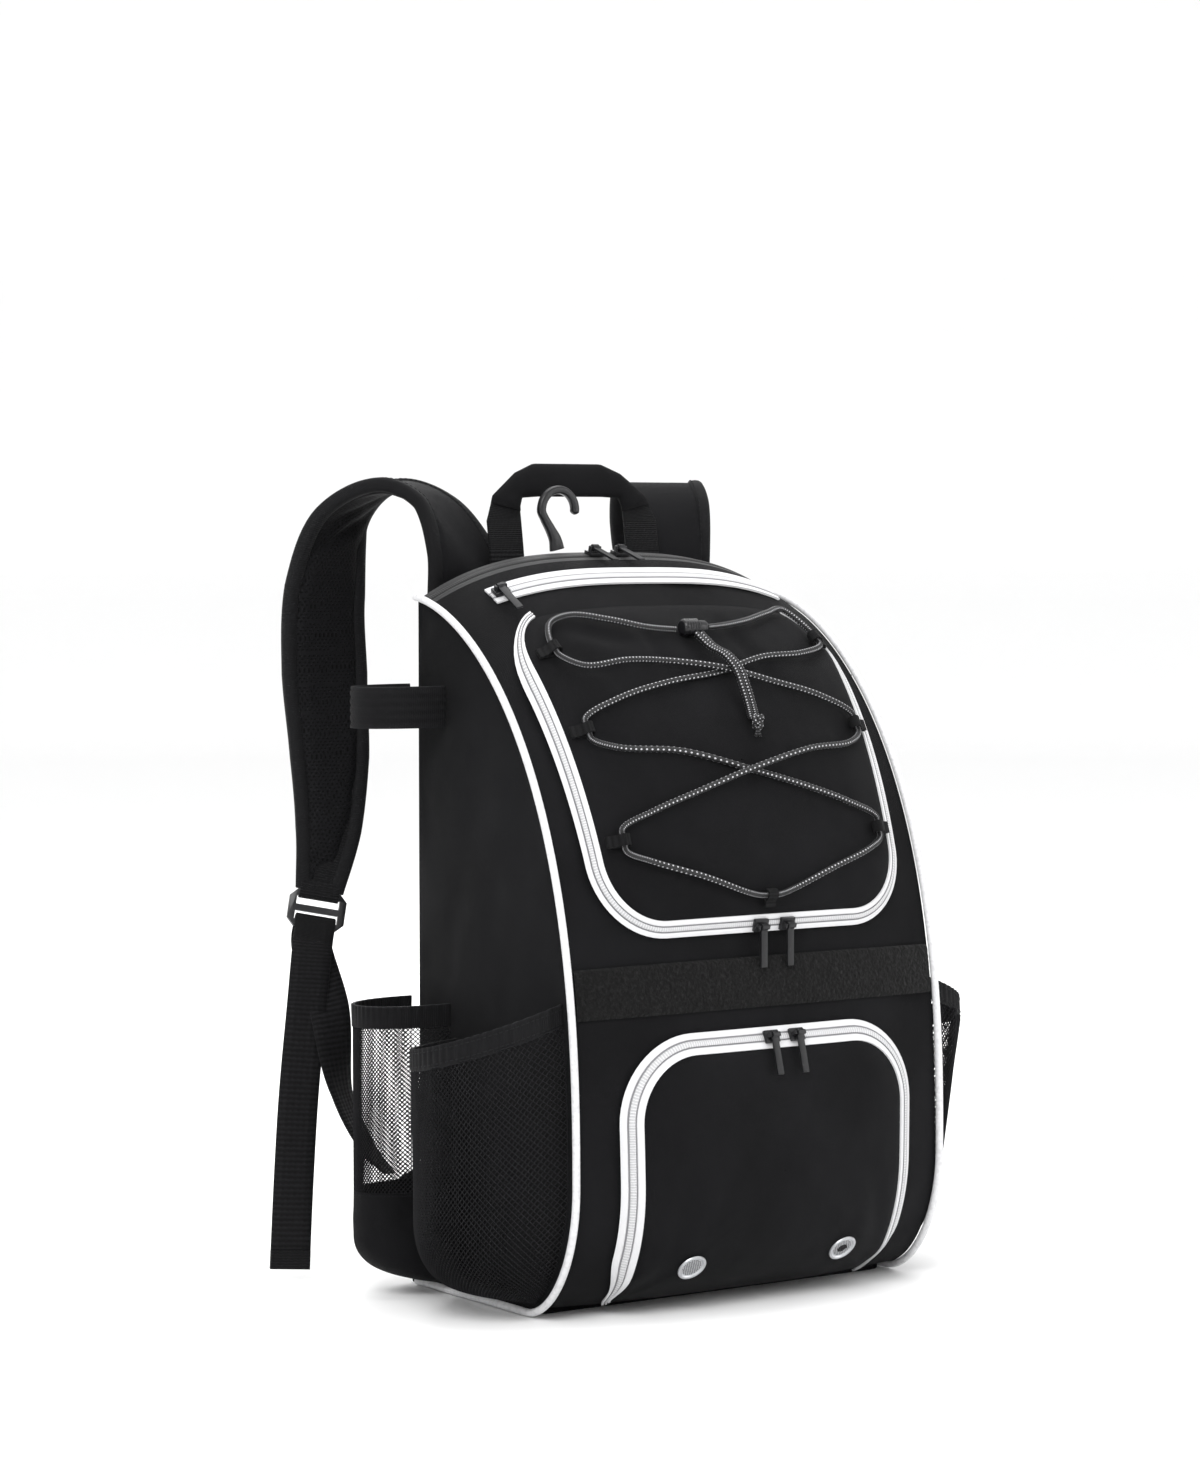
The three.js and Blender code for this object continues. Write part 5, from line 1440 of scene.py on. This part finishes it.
def bottle_plan(z, side):
    start = profile(share_at_height(z)).x + BOTTLE["seam"]
    scale = 1 if z >= BOTTLE["swell"] else swell_at(z, BOTTLE["floor"], BOTTLE["swell"])
    return bulge(start, BOTTLE["rear"], (6 * scale, -38 * scale), bottle_depth(z, side) * scale)


def bottle_rim(u):
    return BOTTLE["rim_rear"] + (BOTTLE["rim_front"] - BOTTLE["rim_rear"]) * (1 - u) ** 2.2


def sleeve_plan(z, side):
    scale = 1 if z >= SLEEVE["swell"] else swell_at(z, SLEEVE["floor"], SLEEVE["swell"])
    return bulge(SLEEVE["front"], SLEEVE["rear"], (6 * scale, 6 * scale), SLEEVE["depth"] * scale)


def bat_loop_plan(z, side):
    return bulge(SLEEVE["front"] + 6, SLEEVE["rear"], (5, 6), SLEEVE["depth"] - 1)


def on_side(side, plan, u, z, proud=0.0):
    place, along = on_plan(plan(z, side), u)
    y = place.x - along.y * proud
    out = place.y + along.x * proud
    return Vector((side * (side_reach(place.x, z) + GAP + 0.2 + max(0, out)), y, z))


def even_heights(plan, side, low, high, count):
    """Heights whose rows lie evenly on the swollen foot of a pocket"""
    return even_steps(lambda z: Vector((on_plan(plan(z, side), 0.5)[0].y, z)), low, high, count)


def side_inside(side, middle_y, height):
    return Vector((side * (HALF_WIDTH - 20), middle_y, height))


class BACKPACK_OT_bottle_pockets(bpy.types.Operator):
    """Net pockets on both sides, with their bindings"""
    bl_idname = "backpack.bottle_pockets"
    bl_label = "Bottle pockets"

    def execute(self, context):
        cell = mm("bottle_net")
        for word, side in (("left", -1), ("right", 1)):
            heights = even_heights(bottle_plan, side, BOTTLE["floor"], BOTTLE["rim_front"], 200)

            def place(u, v):
                top = bottle_rim(u) - BINDING_HEIGHT + 1
                z = BOTTLE["floor"] + (top - BOTTLE["floor"]) * (
                    (lookup(heights, v) - BOTTLE["floor"]) / (BOTTLE["rim_front"] - BOTTLE["floor"]))
                gather = 1.6 * sin(u * 46) * smooth((v - 0.7) / 0.3) * (1 - u) ** 1.5
                return on_side(side, bottle_plan, u, z, gather - 0.6)

            piece = net("net_pocket_" + word, round(212 / cell), round(196 / cell), place)
            worn(piece, net_finish, "black_mesh", "bottle_pocket_" + word)

            def band(u, v):
                z = bottle_rim(u) - BINDING_HEIGHT * (1 - v)
                gather = 0.5 * sin(u * 190) * smooth(v / 0.3)
                return on_side(side, bottle_plan, u, z, gather)

            inside = side_inside(side, -30, 190)
            binding = sheet("net_binding_" + word, 150, 8, band, (0.212, 1), 2.4, inside, 0.7)
            worn(binding, binding_finish, "black_webbing", "pocket_binding_" + word)
            seams = []
            for share in (0.2, 0.8):
                seams.append([
                              (on_side(side, bottle_plan, i / 120,
                                       bottle_rim(i / 120) - BINDING_HEIGHT * share, 0.4),
                               self.out(side, i / 120)) for i in range(121)])
            worn(stitching("net_binding_stitches_" + word, seams), thread_finish, "black_webbing")
        return {"FINISHED"}

    def out(self, side, u):
        _, along = on_plan(bottle_plan(190, side), u)
        return Vector((side * along.x, -along.y, 0)).normalized()


class BACKPACK_OT_bat_sleeves(bpy.types.Operator):
    """Bat sleeves with a cloth base, a net and a binding, and the elastic bat loops"""
    bl_idname = "backpack.bat_sleeves"
    bl_label = "Bat sleeves and loops"

    def execute(self, context):
        cell = mm("sleeve_net")
        base, top = SLEEVE["base"], SLEEVE["top"] - BINDING_HEIGHT
        for word, side in (("left", -1), ("right", 1)):
            heights = even_heights(sleeve_plan, side, SLEEVE["floor"], base, 100)
            inside = side_inside(side, 75, 120)

            def net_place(u, v):
                return on_side(side, sleeve_plan, u, mix(base - 2, top + 2, v), -0.8)

            piece = net("sleeve_net_" + word, round(150 / cell), round((top - base) / cell), net_place)
            worn(piece, net_finish, "black_mesh", "bat_sleeve_" + word)

            def base_place(u, v):
                z = lookup(heights, v)
                point = on_side(side, sleeve_plan, u, z)
                dent = ruffle(point, 34, 1.6) * smooth(v / 0.2) * smooth((1 - v) / 0.1)
                return on_side(side, sleeve_plan, u, z, min(0.3, dent - 0.3))

            foot = sheet("sleeve_base_" + word, 60, 44, base_place, (1, 1), mm("cloth_wall"), inside)
            worn(foot, cloth_finish, "black_cloth")

            def band(u, v):
                return on_side(side, sleeve_plan, u, mix(top, SLEEVE["top"], v), 0.3 + 0.4 * sin(u * 170) * v)

            binding = sheet("sleeve_binding_" + word, 120, 8, band, (0.15, 1), 2.2, inside, 0.6)
            worn(binding, binding_finish, "black_webbing")

            def loop(u, v):
                z = mix(BAT_LOOP["low"], BAT_LOOP["high"], v)
                roll = 0.35 * sin(v * pi * 10)
                return on_side(side, bat_loop_plan, u, z, roll)

            elastic = sheet("bat_elastic_" + word, 70, 60, loop, (0.15, 1), 1.7,
                            side_inside(side, 75, 400), 0.4)
            worn(elastic, binding_finish, "black_webbing", "bat_loop_" + word)
        return {"FINISHED"}


# Carry handle: rows up one leg to the middle of the grip, as shares of its half width and height
HANDLE_ROWS = [
    {"outer": 1, "inner": 1, "rise": 0, "drop": 0},
    {"outer": 1, "inner": 1, "rise": 0.42, "drop": 0.42},
    {"outer": 1, "inner": 1, "rise": 0.62, "drop": 0.62},
    {"outer": 0.9, "inner": 1, "rise": 0.79, "drop": 0.72},
    {"outer": 0.62, "inner": 0.94, "rise": 0.94, "drop": 0.78},
    {"outer": 0.4, "inner": 0.62, "rise": 1, "drop": 0.79},
]


def handle_edges():
    """Inner and outer edge points of the handle, from its left foot to its right foot"""
    height = HANDLE["top"] - HANDLE["foot"]
    inner_half = HANDLE["half"] - HANDLE["webbing"]
    half = [(Vector((row["inner"] * inner_half, HANDLE["foot"] + row["drop"] * height)),
             Vector((row["outer"] * HANDLE["half"], HANDLE["foot"] + row["rise"] * height)))
             for row in HANDLE_ROWS]
    left = [(Vector((-i.x, i.y)), Vector((-o.x, o.y))) for i, o in half]
    return left + half[::-1]


def on_handle(edges, u, v, lift):
    spot = v * (len(edges) - 1)
    k = min(int(spot), len(edges) - 2)
    inner = edges[k][0].lerp(edges[k + 1][0], spot - k)
    outer = edges[k][1].lerp(edges[k + 1][1], spot - k)
    x, z = inner.lerp(outer, u)
    up = clamp((z - SIDE_HEIGHT) / (HANDLE["top"] - SIDE_HEIGHT)) ** 1.4
    return Vector((HARNESS_SHIFT + x, back_reach(0, HANDLE["foot"]) + GAP + HANDLE["lean"] * up + lift, z))


class BACKPACK_OT_handle(bpy.types.Operator):
    """Carry handle: webbing legs and a padded grip"""
    bl_idname = "backpack.handle"
    bl_label = "Carry handle"

    def execute(self, context):
        edges = handle_edges()
        last = len(edges) - 1

        def place(u, v):
            return on_handle(edges, u, v, HANDLE["thickness"])

        legs = sheet("handle_webbing", 12, last * 10, place, (1, 0.3), HANDLE["thickness"] * 0.8,
                     Vector((0, 0, 500)), 0.5)
        self.along_webbing(legs)
        worn(legs, webbing_finish, "black_webbing", "carry_handle")

        rings = []
        for i in range(61):
            v = mix(2.7, last - 2.7, i / 60) / last
            taper = smooth(min(i, 60 - i) / 3) * 0.25 + 0.75
            ring = []
            for k in range(28):
                angle = 2 * pi * k / 28
                across = math.copysign(abs(cos(angle)) ** 0.8, cos(angle))
                ring.append(on_handle(edges, 0.5 + 0.53 * across, v, 1.5 + 3.6 * taper * sin(angle)))
            rings.append(ring)
        worn(rolled("handle_grip", rings), cloth_finish, "black_cloth")

        seams = []
        for side in (-1, 1):
            box = [(0.12, 0.02), (0.88, 0.02), (0.88, 0.085), (0.12, 0.085), (0.12, 0.02), (0.88, 0.085)]
            points = [on_handle(edges, u, v if side < 0 else 1 - v, HANDLE["thickness"] + 0.1)
                      for u, v in box]
            seams.append([(point, Vector((0, 1, 0))) for point in points])
        worn(stitching("handle_stitches", seams), thread_finish, "black_webbing")
        return {"FINISHED"}

    def along_webbing(self, piece):
        """The ribs lie across the webbing, so the map's first axis runs along it"""
        chart = piece.data.uv_layers.active.data
        for loop in piece.data.loops:
            u, v = chart[loop.index].uv
            chart[loop.index].uv = (v, u)


class BACKPACK_OT_hook(bpy.types.Operator):
    """Plastic fence hook that widens into its foot"""
    bl_idname = "backpack.hook"
    bl_label = "Fence hook"

    def execute(self, context):
        thick = HOOK["thickness"]
        middle = HOOK["top"] - HOOK["radius"] - thick / 2
        y = BACK_FRONT_Y + BACK_PADDING / 2
        foot = arch(HOOK["x"]) + 0.2
        line = [(-1, foot, 1.9), (-2.6, mix(foot, middle, 0.25), 1.55), (-6.5, mix(foot, middle, 0.5), 1.2),
                (-11.5, mix(foot, middle, 0.78), 1.0)]
        for i in range(13):
            angle = mix(pi * 1.03, -0.25, i / 12)
            line.append((HOOK["radius"] * cos(angle), middle + HOOK["radius"] * sin(angle), 1.0))
        route = Route([Vector((HOOK["x"] + x, y, z)) for x, z, _ in line])
        widths = [row[2] for row in line]
        rings = []
        count = 110
        for i in range(count + 1):
            share = i / count
            along = route.along(share)
            across = along.cross(Vector((0, 1, 0))).normalized()
            tip = min(1, ((1 - share) / 0.03)) ** 0.5 if share > 0.97 else 1
            wide = lookup(widths, share) * thick / 2 * max(0.15, tip)
            deep = thick / 2 * max(0.15, tip)
            ring = []
            for k in range(20):
                angle = 2 * pi * k / 20
                a = math.copysign(abs(cos(angle)) ** 0.7, cos(angle))
                b = math.copysign(abs(sin(angle)) ** 0.7, sin(angle))
                ring.append(route.at(share) + across * (wide * a) + Vector((0, deep * b, 0)))
            rings.append(ring)
        worn(rolled("plastic_hook", rings), plastic_finish, "black_plastic", "fence_hook")
        return {"FINISHED"}


# Straps: stations in millimetres, with x outwards from the middle of the harness, the distance
# behind the back, the turn of the width in degrees and the width and thickness as shares
PAD_COLUMNS = ("x", "behind", "z", "turn", "share", "thin")
PADS = {
    "left": [
        (-86, 8.9, 436, 0, 1, 0.8), (-86, 10.6, 474, 0, 1, 1), (-90, 15.4, 508, 16, 1, 1),
        (-102, 32, 541, 36, 1, 1), (-124, 56, 552, 44, 1, 1), (-148, 75, 530, 26, 1, 1),
        (-161, 80, 478, 4, 1, 1), (-164, 76, 420, -8, 0.96, 1), (-165, 68, 362, -14, 0.86, 1),
        (-171, 60, 312, -18, 0.7, 0.85), (-182, 54, 270, -20, 0.5, 0.4),
    ],
    "right": [
        (86, 8.9, 436, 0, 1, 0.8), (86, 10.6, 474, 0, 1, 1), (88, 15.4, 508, -9, 1, 1),
        (96, 31, 541, -20, 1, 1), (106, 55, 552, -26, 1, 1), (116, 74, 530, -16, 1, 1),
        (124, 79, 478, -2, 1, 1), (132, 75, 420, 6, 0.96, 1), (140, 67, 362, 12, 0.86, 1),
        (150, 59, 312, 14, 0.7, 0.85), (160, 53, 270, 16, 0.5, 0.4),
    ],
}
WEB_RUNS = {
    "left": {
        "low": (-171, 21, 92), "middle": (-182, 38, 130), "high": (-188, 45, 190),
        "tail": [(-203, 50, 190), (-209, 51, 130), (-214, 50, 70), (-218, 49, 9)],
    },
    "right": {
        "low": (170, 21, 92), "middle": (172, 38, 130), "high": (166, 44, 190),
        "tail": [(168, 55, 190), (174, 57, 130), (179, 57, 80), (181, 56, 28)],
    },
}
BUCKLE_TURN = [(14, -1), (1.2, -1), (-2, -0.8), (-3.6, 0), (-2, 0.8), (1.2, 1), (14, 1)]


def station(place, turn=0.0, share=1.0, thin=1.0, across=None):
    angle = radians(turn)
    return {"place": Vector(place), "share": share, "thin": thin,
            "across": across or Vector((cos(angle), sin(angle), 0))}


class Ribbon:
    """Flat band through stations, each with its own way across"""

    def __init__(self, stations, width, thickness):
        self.stations = stations
        self.width = width
        self.thickness = thickness
        self.route = Route([s["place"] for s in stations])

    def at(self, share):
        """Centre, way along, way across, normal, half width and half thickness"""
        last = len(self.stations) - 1
        k = min(last - 1, int(share * last))
        part = share * last - k
        here, there = self.stations[k], self.stations[k + 1]
        along = self.route.along(share)
        across = here["across"].lerp(there["across"], part)
        across = (across - along * across.dot(along)).normalized()
        half = self.width * mix(here["share"], there["share"], part) / 2
        deep = self.thickness * mix(here["thin"], there["thin"], part) / 2
        return self.route.at(share), along, across, along.cross(across), half, deep

    def rings(self, steps, section, narrow=0.0, slim=0.0):
        rings = []
        for i in range(steps + 1):
            centre, _, across, normal, half, deep = self.at(i / steps)
            rings.append([centre + across * (a * (half - narrow)) + normal * (b * (deep - slim))
                          for a, b in section])
        return rings


def pad_stations(word):
    rows = [dict(zip(PAD_COLUMNS, row)) for row in PADS[word]]
    return [station((row["x"] + HARNESS_SHIFT, BACK_Y + row["behind"], row["z"]), row["turn"], row["share"],
                    row["thin"]) for row in rows]


def buckle_seat(stations):
    before, end = stations[-2], stations[-1]
    down = (end["place"] - before["place"]).normalized()
    centre = end["place"] + down * (BUCKLE_HEIGHT / 2 + GAP + 0.2)
    across = (end["across"] - down * end["across"].dot(down)).normalized()
    return centre, down, across, across.cross(down)


def web_stations(word, side):
    """Webbing from the lower anchor up behind the buckle, round its bar and down as a tail"""
    pads, run = pad_stations(word), WEB_RUNS[word]
    centre, down, across, normal = buckle_seat(pads)
    clear = BUCKLE_THICKNESS / 2 + WEBBING / 2 + 0.5
    edge = BUCKLE_BAR / 2 + BUCKLE_SLOT
    facing = 1 if normal.y < 0 else -1
    turn = PADS[word][-1][3]

    def behind(point):
        return (point[0], BACK_Y + point[1], point[2])

    rows = [station(behind((side * (HALF_WIDTH + 12), 8, ANCHOR_HEIGHT + 10)), side * -50, 0.9),
            station(behind(run["low"]), side * -40), station(behind(run["middle"]), side * -30),
            station(behind(run["high"]), turn)]
    rows += [station(centre + down * (edge + past) + normal * (facing * out * clear), across=across)
             for past, out in BUCKLE_TURN]
    return rows + [station(behind(point), turn) for point in run["tail"]]


PAD_SECTION = [(-1, -0.4), (-0.84, -1), (0.84, -1), (1, -0.4), (1, 0.4), (0.84, 1), (-0.84, 1), (-1, 0.4)]
WEB_SECTION = [(-1, -0.5), (-0.97, -1), (-0.5, -1), (0, -1), (0.5, -1), (0.97, -1), (1, -0.5),
               (1, 0.5), (0.97, 1), (0.5, 1), (0, 1), (-0.5, 1), (-0.97, 1), (-1, 0.5)]


class BACKPACK_OT_straps(bpy.types.Operator):
    """Padded shoulder straps with bindings, buckles, webbing and anchors"""
    bl_idname = "backpack.straps"
    bl_label = "Straps"

    def execute(self, context):
        for word, side in (("left", -1), ("right", 1)):
            pad = Ribbon(pad_stations(word), STRAP_WIDTH, STRAP_THICKNESS)
            self.pad(word, pad)
            self.binding(word, pad)
            self.tip(word, pad)
            self.webbing(word, side)
            worn(softened("ladder_buckle_" + word, "buckle_" + word, 0.9), plastic_finish, "black_plastic",
                 "buckle_" + word)
            worn(softened("anchor_flap_" + word, "strap_anchor_" + word, 0.5), cloth_finish, "black_webbing",
                 "strap_anchor_" + word)
        return {"FINISHED"}

    def pad(self, word, pad):
        """Foam pad that swells, then is charted along and across for its two cloths"""
        piece = rolled("foam_pad_" + word, pad.rings(90, PAD_SECTION, 2.5, 0.8))
        stuffed(piece, mm("voxel"), 2.5)
        count = 240
        frames = [pad.at(i / count) for i in range(count + 1)]
        tree = KDTree(count + 1)
        run = [0.0]
        for before, after in zip(frames, frames[1:]):
            run.append(run[-1] + (after[0] - before[0]).length)
        for i, row in enumerate(frames):
            tree.insert(row[0], i)
        tree.balance()
        places, sides = [], []
        for vertex in piece.data.vertices:
            point = vertex.co / MM
            _, i, _ = tree.find(point)
            centre, _, across, normal, _, deep = frames[i]
            away = point - centre
            places.append((run[i] * MM, away.dot(across) * MM))
            sides.append(clamp(0.5 + away.dot(normal) / deep))
        mesh = piece.data
        marks = mesh.attributes.new("wearer", "FLOAT", "POINT")
        for i, value in enumerate(sides):
            marks.data[i].value = value
        chart = mesh.uv_layers.new(name="UVMap")
        for loop in mesh.loops:
            chart.data[loop.index].uv = places[loop.vertex_index]
        worn(piece, pad_finish, "black_cloth", "shoulder_pad_" + word)

    def binding(self, word, pad):
        """Tape folded round both edges of the pad"""
        parts = []
        seams = []
        for edge in (-1, 1):
            rings = []
            seam = []
            for i in range(121):
                centre, _, across, normal, half, deep = pad.at(i / 120)
                middle = centre + across * (edge * (half - 4.4))
                ring = []
                for k in range(16):
                    angle = 2 * pi * k / 16
                    a = math.copysign(abs(cos(angle)) ** 0.75, cos(angle))
                    b = math.copysign(abs(sin(angle)) ** 0.75, sin(angle))
                    ring.append(middle + across * (5.4 * a) + normal * ((deep * 0.86 + 0.9) * b))
                rings.append(ring)
                seam.append((middle - across * (edge * 3.2) - normal * (deep * 0.8 + 0.9), -normal))
            parts.append(rolled("tape", rings))
            seams.append(seam)
        seams.append(self.box_seam(pad, 0.0, 0.05))
        seams.append(self.box_seam(pad, 0.93, 0.99))
        worn(joined("pad_binding_" + word, parts), binding_finish, "black_webbing")
        worn(stitching("pad_stitches_" + word, seams), thread_finish, "black_webbing")

    def tip(self, word, pad):
        """Flat end of the pad, with webbing from it round the upper bar of the buckle"""
        flat = []
        for i in range(17):
            centre, _, across, normal, half, deep = pad.at(mix(TIP_START, 1, i / 16))
            flat.append([centre + across * (a * (half - TIP_MARGIN)) + normal * (b * max(TIP_WALL, deep * 0.7))
                         for a, b in WEB_SECTION])
        centre, along, across, normal, _, _ = pad.at(1)
        bar = BUCKLE_THICKNESS / 2 + 1.2
        loop = []
        rows = ((-14, 1.1), (-8, 1.4), (-3, bar), (0, bar), (BUCKLE_BAR, bar), (BUCKLE_BAR + 2, 1.6))
        for reach, thick in rows:
            middle = centre + along * reach
            loop.append([middle + across * (a * WEBBING_WIDTH / 2) + normal * (b * thick)
                         for a, b in WEB_SECTION])
        parts = [rolled("flat", flat), rolled("loop", loop)]
        worn(joined("pad_tip_" + word, parts), webbing_finish, "black_webbing")

    def box_seam(self, pad, start, end):
        """Box with a cross in it, sewn through the pad"""
        corners = [(-0.6, start), (0.6, start), (0.6, end), (-0.6, end), (-0.6, start), (0.6, end)]
        seam = []
        for a, share in corners:
            centre, _, across, normal, half, deep = pad.at(share)
            seam.append((centre + across * (a * half) - normal * (deep + 0.8), -normal))
        return seam

    def webbing(self, word, side):
        web = Ribbon(web_stations(word, side), WEBBING_WIDTH, WEBBING)
        strap = rolled("web_strap_" + word, web.rings(260, WEB_SECTION))
        worn(strap, webbing_finish, "black_webbing", "strap_webbing_" + word)
        hem = Ribbon(web_stations(word, side), WEBBING_WIDTH, WEBBING * 2.6)
        rings = []
        for i in range(9):
            centre, _, across, normal, half, deep = hem.at(mix(0.985, 1, i / 8))
            rings.append([centre + across * (a * half) + normal * (b * deep) for a, b in WEB_SECTION])
        worn(rolled("web_hem_" + word, rings), webbing_finish, "black_webbing")


SPOTS = ["upper_left", "upper_right", "lower_left", "lower_right", "slit", "main_left", "main_right"]


class BACKPACK_OT_sliders(bpy.types.Operator):
    """Zipper sliders, and the pulls that swing on them"""
    bl_idname = "backpack.sliders"
    bl_label = "Sliders and pulls"

    def execute(self, context):
        for spot in SPOTS:
            slider = softened("zip_slider_" + spot, "slider_" + spot, 0.45)
            worn(slider, metal_finish, "black_metal", "slider_" + spot)
            pull = softened("zip_pull_" + spot, "pull_" + spot, 0.3)
            worn(pull, metal_finish, "black_metal", "pull_" + spot, body="pull_" + spot)
        return {"FINISHED"}


class BACKPACK_PT_panel(bpy.types.Panel):
    """Lists the pieces of the backpack with their sizes and colours"""
    bl_idname = "BACKPACK_PT_panel"
    bl_label = "Baseball bat backpack"
    bl_space_type = "VIEW_3D"
    bl_region_type = "UI"
    bl_category = "Backpack"

    def draw(self, context):
        for operator in OPERATORS:
            self.layout.operator(operator.bl_idname)
        for group in (context.scene.backpack_sizes, context.scene.backpack_colours):
            for name in group.bl_rna.properties.keys():
                if name not in ("rna_type", "name"):
                    self.layout.prop(group, name)


OPERATORS = [
    BACKPACK_OT_stage, BACKPACK_OT_bungee, BACKPACK_OT_body, BACKPACK_OT_trim, BACKPACK_OT_pockets,
    BACKPACK_OT_bottle_pockets, BACKPACK_OT_bat_sleeves, BACKPACK_OT_handle, BACKPACK_OT_hook,
    BACKPACK_OT_straps, BACKPACK_OT_sliders,
]
CLASSES = [BackpackSizes, BackpackColours, *OPERATORS, BACKPACK_PT_panel]


def register():
    for item in CLASSES:
        bpy.utils.register_class(item)
    bpy.types.Scene.backpack_sizes = PointerProperty(type=BackpackSizes)
    bpy.types.Scene.backpack_colours = PointerProperty(type=BackpackColours)


def unregister():
    del bpy.types.Scene.backpack_colours
    del bpy.types.Scene.backpack_sizes
    for item in reversed(CLASSES):
        bpy.utils.unregister_class(item)


def main():
    register()
    for operator in OPERATORS:
        group, name = operator.bl_idname.split(".")
        getattr(getattr(bpy.ops, group), name)()


if __name__ == "__main__":
    main()
